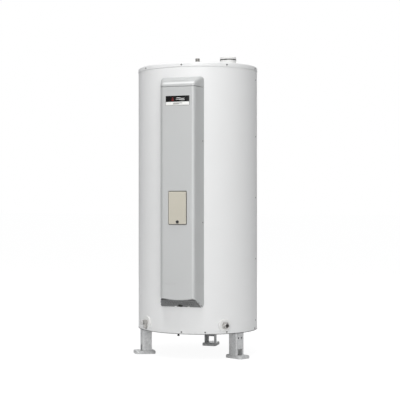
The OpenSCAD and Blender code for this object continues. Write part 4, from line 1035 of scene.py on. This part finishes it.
badge_body = raised_shape(plate_outline(0, badge_mid_z, badge_half_w, badge_half_h, 0.002),
                          badge_back, badge_front - 0.0003, 0.0003)
dressed(formed("badge_body", [badge_body]), badge_black, "badge_black", "badge_plate")
band_outline = plate_outline(0, (badge_low.z + badge_rim + band_z) / 2, badge_half_w - badge_rim,
                             (band_z - badge_low.z - badge_rim) / 2, badge_rim)
lower_band = raised_shape(band_outline, badge_front - 0.0004, badge_front - 0.00015, 0.0001)
dressed(formed("badge_band", [lower_band]), badge_white, "badge_black")

drop_turn = np.linspace(0, 2 * math.pi, 49)[:-1]
drop_z = (band_z + badge_high.z) / 2 - 0.001
drop = np.stack([-0.028 + 0.0095 * np.sin(drop_turn) * np.sin(drop_turn / 2) ** 1.5,
                 drop_z + 0.0135 * np.cos(drop_turn)], axis=1)
dressed(formed("badge_drop", [raised_shape(drop, badge_front - 0.0004, badge_skin, 0.0001)]),
        badge_red, "badge_black")
waves, bars = [], []
for k in (0, 1):
    waves += wave(-0.010, 0.042, drop_z + 0.004 - 0.008 * k, 0.0020, 0.0013, badge_front - 0.0004, badge_skin)
    bars += wave(-0.028, 0.030 - 0.02 * k, band_z - 0.0070 - 0.0055 * k, 0.0, 0.0014, badge_front - 0.0003,
                 badge_skin)
dressed(formed("badge_waves", waves), badge_white, "badge_black")
dressed(formed("badge_bars", bars), badge_black, "badge_black")


# ------------------------------------------------------------------ control window
# A tray set in the cover's opening holds the breaker and the small control panel. A beige door, hinged along
# its top, closes it with a black quarter-turn latch. All are moulded plastics, with their CAD edges rounded.
tray_plastic = plastic("grey_plastic", (0.30, 0.305, 0.30), 0.50)
beige_plastic = plastic("beige_plastic", (0.545, 0.515, 0.435), 0.44)
black_plastic = plastic("black_plastic", (0.018, 0.018, 0.020), 0.38)
white_switch = plastic("breaker_white", (0.66, 0.66, 0.63), 0.42)
red_plastic = plastic("red_plastic", (0.42, 0.030, 0.022), 0.40)
amber_plastic = plastic("amber_plastic", (0.70, 0.27, 0.045), 0.40)
slate_plastic = plastic("slate_plastic", (0.19, 0.21, 0.24), 0.42)

for node, edge, material, slot in (
        ("window_tray", 0.0005, tray_plastic, "grey_plastic"),
        ("window_door", 0.0010, beige_plastic, "beige_plastic"),
        ("door_latch", 0.0005, black_plastic, "black_plastic"),
        ("breaker_body", 0.0006, black_plastic, "black_plastic"),
        ("breaker_lever", 0.0005, white_switch, "breaker_white"),
        ("breaker_test_button", 0.0004, red_plastic, "red_plastic"),
        ("control_panel", 0.0005, white_switch, "breaker_white"),
        ("boost_button", 0.0004, amber_plastic, "amber_plastic"),
        ("mode_button", 0.0004, slate_plastic, "slate_plastic")):
    kept(node, edge, material, slot)


# ------------------------------------------------------------------ pipe fittings
# Cold inlet, hot outlet and drain tap: turned and nickel-washed brass with pipe threads and hexagons, each
# through a dished white plate. The drain's knob has five lobes. The overflow ends in a rubber nozzle under the
# base.
fitting_metal = coated("brass", worked, (0.56, 0.55, 0.53), {"Dullness": 0.36}, 0.000005, metallic=1.0)
white_plastic = plastic("white_plastic", (0.80, 0.80, 0.785), 0.38)
knob_plastic = plastic("knob_plastic", (0.62, 0.62, 0.61), 0.45)
pipe_bearing, pipe_z = 40.4, 0.1954
crest_r, bore_r = 0.0132, 0.0095


def hexed(turn, across):
    """Radius of a hexagon: (A / 2) / cos of the angle from the nearest flat's middle."""
    sixth = math.pi / 3
    return across / 2 / np.cos(turn % sixth - sixth / 2)


def threaded_pipe(start, low, high, end, across=0.036, pitch=0.001814):
    """A pipe from start to end with a hexagon between low and high. A 55-degree thread runs above it, with
    radius crest - depth |2 frac((h - pitch turn / 2 pi) / pitch) - 1|, let in and out over one pitch."""
    rows = np.linspace(high + 0.0004, end - 0.0004, int((end - high) / pitch) * 10)
    edge = 0.0016
    section = np.concatenate([
        [[bore_r, start], [bore_r, end - 0.001], [bore_r + 0.0008, end], [crest_r - 0.0016, end]],
        np.stack([np.full_like(rows, crest_r), rows], axis=1)[::-1],
        [[crest_r, high], [across / 2 * 0.94, high], [across / 2 * 1.16, high - edge],
         [across / 2 * 1.16, low + edge], [across / 2 * 0.94, low], [crest_r, low], [crest_r, start],
         [bore_r, start]]])

    def shape(turn, radius, height):
        cut = np.abs(2 * (((height - pitch * turn / (2 * math.pi)) / pitch) % 1) - 1) * 0.64 * pitch
        let_in = np.clip((height - rows[0]) / pitch, 0, 1) * np.clip((rows[-1] - height) / pitch, 0, 1)
        threaded = np.where(np.abs(radius - crest_r) < 1e-9, crest_r - cut * let_in, radius)
        return np.where(radius > crest_r + 0.001, np.minimum(radius, hexed(turn, across)), threaded)

    return turned(section, 96, shape)


def wall_plate(hole_r):
    """A dished cover plate: a flat ring, a quarter-round shoulder, and a rim that follows the casing's curve,
    sqrt(R^2 - x^2) - R. Its back is one wall thickness in."""
    front = np.concatenate([[[hole_r, 0.0078]], [[0.018, 0.0078], [0.024, 0.0078], [0.028, 0.0077]],
                            arc((0.0315, 0.0023), 0.0055, 90, 0, 8), [[0.037, -1.0]]])
    back = np.concatenate([[[0.0345, -1.0]], arc((0.0312, 0.0022), 0.0033, 0, 90, 6),
                           [[0.024, 0.0055], [hole_r, 0.0055]]])
    points = turned(closed(np.concatenate([front, back])), 96)
    seat = np.sqrt(casing_r ** 2 - points[..., 0] ** 2) - casing_r + 0.0001
    points[..., 2] = np.where(points[..., 2] < -0.5, seat, points[..., 2])
    return points


def on_pipe(points, side):
    """Local points stood on the casing at the inlet (1) or the drain (-1)."""
    return on_wall(points, side * pipe_bearing, casing_r, pipe_z)


for name, side, hole_r in (("inlet", 1, crest_r + 0.0003), ("drain", -1, crest_r + 0.0002)):
    plate = formed(name + "_plate", [on_pipe(wall_plate(hole_r), side)])
    dressed(plate, white_plastic, "white_plastic", name + "_escutcheon")

inlet_pipe = on_pipe(threaded_pipe(-0.022, 0.0082, 0.024, 0.038), 1)
dressed(formed("inlet_thread", [inlet_pipe]), fitting_metal, "brass", "inlet_fitting")

outlet_low, outlet_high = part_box("outlet_fitting")
outlet_pipe = threaded_pipe(outlet_low.z, cap_z1 + 0.0065, cap_z1 + 0.0205, outlet_high.z)
collar_z = outlet_low.z + 0.0061
collar = turned([[bore_r + 0.001, collar_z], [0.021, collar_z], [0.021, collar_z + 0.005],
                 [bore_r + 0.001, collar_z + 0.005], [bore_r + 0.001, collar_z]], 64)
dressed(formed("outlet_thread", [outlet_pipe, collar]), fitting_metal, "brass", "outlet_fitting")
outlet_plate = turned(closed(np.concatenate([
    [[crest_r + 0.0003, cap_z1 + 0.006], [0.026, cap_z1 + 0.006]],
    arc((0.0315, cap_z1 + 0.0015), 0.0045, 90, 0, 8),
    [[0.036, cap_z1 + 0.0001], [0.0335, cap_z1 + 0.0001]],
    arc((0.031, cap_z1 + 0.0015), 0.0025, 0, 90, 5),
    [[crest_r + 0.0003, cap_z1 + 0.004]]])), 96)
dressed(formed("outlet_plate", [outlet_plate]), white_plastic, "white_plastic", "outlet_escutcheon")

spout_away, spout_flare, flare_reach = 0.0175, 0.0025, 0.0115
bead_reaches, bead_half = (0.0324, 0.0264), 0.0017


def drain_barrel():
    """The tap's barrel as a turned section, and its spout as another along -Z that starts inside it. The
    spout has two rounded beads and flares by 2.5 mm into the barrel as exp(-(h / 2.5 mm)^2)."""
    barrel = turned(closed(np.array([
        [0.0055, -0.022], [0.0055, 0.0105], [0.009, 0.0105], [0.009, 0.027], [0.0122, 0.027], [0.013, 0.0262],
        [0.013, 0.020], [0.0124, 0.0194], [0.0124, 0.0188], [0.013, 0.0182], [0.013, -0.022]])), 72)
    reach = np.linspace(-0.034, -0.005, 60)
    beads = [1.2 * np.sqrt(np.clip(1 - ((reach + middle) / bead_half) ** 2, 0, None)) for middle in bead_reaches]
    flare = spout_flare * np.exp(-(np.minimum(reach + flare_reach, 0) / spout_flare) ** 2)
    outer = np.minimum(0.008 + 0.001 * np.maximum(*beads) + flare, 0.0105)
    section = np.concatenate([[[0, -0.012], [0.0055, -0.012], [0.0055, -0.0334], [0.0060, -0.034]],
                              np.stack([outer, reach], axis=1), [[0, -0.005]]])
    spout = turned(section, 72)
    spout = np.stack([spout[..., 0], spout[..., 2], spout[..., 1] + spout_away], axis=-1)
    return [on_pipe(barrel, -1), on_pipe(spout, -1)]


def drain_grip():
    """The knob: radius 12.6 + 1.4 cos 5(turn - 18 deg) mm at its rim, the lobes fading inwards with the
    square of the radius. Its edges are quarter rounds, its face is dished by 1.2 mm, and its hub goes down to
    the tap."""
    round_r = 0.0022
    section = np.concatenate([
        [[0.0051, 0.0336], [0.0066, 0.0336], [0.007, 0.034], [0.007, 0.0362], [0.0080, 0.0362]],
        arc((0.0126 - round_r, 0.0360 + round_r), round_r, -90, 0, 6),
        arc((0.0126 - round_r, 0.0460 - round_r), round_r, 0, 90, 8),
        [[r, 0.0460 - 0.0012 * (1 - (r / 0.0095) ** 2)] for r in np.linspace(0.0095, 0.0030, 7)],
        [[0.0028, 0.0440], [0, 0.0440], [0, 0.0422], [0.0051, 0.0422], [0.0051, 0.0336]]])

    def shape(turn, radius, height):
        lobes = 0.0014 * np.cos(5 * (turn - math.radians(18))) * (radius / 0.0126) ** 2
        return radius + lobes * (radius > 0.0072)

    return [on_pipe(turned(section, 160, shape), -1)]


dressed(formed("drain_barrel", drain_barrel()), fitting_metal, "brass", "drain_body")
dressed(formed("drain_grip", drain_grip()), knob_plastic, "dark_grey_plastic", "drain_knob",
        body=frame["nodes"]["drain_knob"]["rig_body"])
for node in ("drain_bonnet", "drain_jumper", "drain_spindle"):
    kept(node, 0.0005, fitting_metal, "brass")

nozzle_low, nozzle_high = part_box("overflow_nozzle")
nozzle_x, nozzle_y = (nozzle_low.x + nozzle_high.x) / 2, (nozzle_low.y + nozzle_high.y) / 2
nozzle = turned(closed(np.concatenate([
    [[0.0042, 0.020], [0.0042, 0.0003], [0.0046, 0]], arc((0.0058, 0.0013), 0.0013, -90, 60, 7),
    [[0.006, 0.0035], [0.006, 0.0142]], arc((0.0082, 0.0157), 0.0009, -60, 90, 6),
    [[0.006, 0.0172], [0.0058, 0.020]]])), 64)
nozzle = nozzle + [nozzle_x, nozzle_y, nozzle_low.z]
dressed(formed("overflow_spout", [nozzle]), black_rubber, "black_rubber", "overflow_nozzle")


# ------------------------------------------------------------------ relief valve
# A white turret on the cap with a hinged lid over a rubber gasket. Inside stand the valve's brass body, its
# steel stem and spring, and the lever. All keep their CAD shapes, with rounded edges but for the spring.
for node, edge, material, slot in (
        ("relief_turret", 0.0006, white_plastic, "white_plastic"),
        ("relief_lid", 0.0003, white_plastic, "white_plastic"),
        ("relief_gasket", 0.0006, black_rubber, "black_rubber"),
        ("relief_body", 0.0005, fitting_metal, "brass"),
        ("relief_stem", 0.0002, stainless, "stainless_steel"),
        ("relief_lever", 0.0004, stainless, "stainless_steel")):
    kept(node, edge, material, slot)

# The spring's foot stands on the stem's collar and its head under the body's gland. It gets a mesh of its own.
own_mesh(kept("relief_spring", 0, stainless, "stainless_steel"))


# ------------------------------------------------------------------ parts inside
# The tank, its pipes, heaters and insulation, and the electrical parts, are CAD shapes kept as they are. They
# get materials only: brushed stainless, cut foam, a lacquered board, and coloured wire covering.
def cut_foam():
    """Foam: closed cells about a millimetre across, larger blisters among them, and a yellowed skin in
    patches."""
    group, place, given = surface_group("cut_foam", {"Tone": (0.7, 0.6, 0.4, 1), "Cell Scale": 900.0})
    fine, _ = cells(group, place, given["Cell Scale"])
    blisters, _ = cells(group, place, 160.0)
    age = noise(group, place, 9.0, 5.0, 0.6)
    value = sums(group, ranged(group, age, 0.88, 1.06), ranged(group, fine, -0.06, 0.04),
                 ranged(group, blisters, -0.03, 0.03))
    return surfaced(group, given["Tone"], value, ranged(group, age, 0.85, 0.97), sums(group, fine, blisters))


def lacquered_board():
    """A circuit board: square blocks of copper under green lacquer, narrow bare lines between them, and
    dust."""
    group, place, given = surface_group("lacquered_board", {"Tone": (0.03, 0.16, 0.07, 1), "Block Scale": 160.0})
    to_middle, shade = cells(group, place, given["Block Scale"], "CHEBYCHEV")
    dust = noise(group, place, 45.0, 5.0, 0.6)
    value = sums(group, ranged(group, shade["Red"], 0.8, 1.25), ranged(group, to_middle, 0.0, 0.35, 0.42, 0.5),
                 ranged(group, dust, -0.08, 0.12))
    return surfaced(group, given["Tone"], value, ranged(group, dust, 0.28, 0.5), to_middle)


foam = coated("foam_insulation", cut_foam(), (0.74, 0.65, 0.44), {}, 0.0003, specular=0.2)
board = coated("circuit_board", lacquered_board(), (0.03, 0.16, 0.07), {}, 0.00005)
wire_covering = plastic("wire_covering", (0.62, 0.59, 0.50), 0.42, 500.0, 0.00003)
for material, nodes in (
        (stainless, ("tank_shell", "inlet_pipe", "inlet_diffuser", "drain_pipe", "overflow_pipe", "heaters")),
        (galvanised, ("tank_ring", "cover_brackets")),
        (foam, ("insulation_top", "insulation_side", "insulation_base")),
        (board, ("control_box",)),
        (black_plastic, ("limit_thermostat",)),
        (wire_covering, ("wiring_harness",))):
    for node in nodes:
        frame["nodes"][node].data.materials.clear()
        frame["nodes"][node].data.materials.append(material)
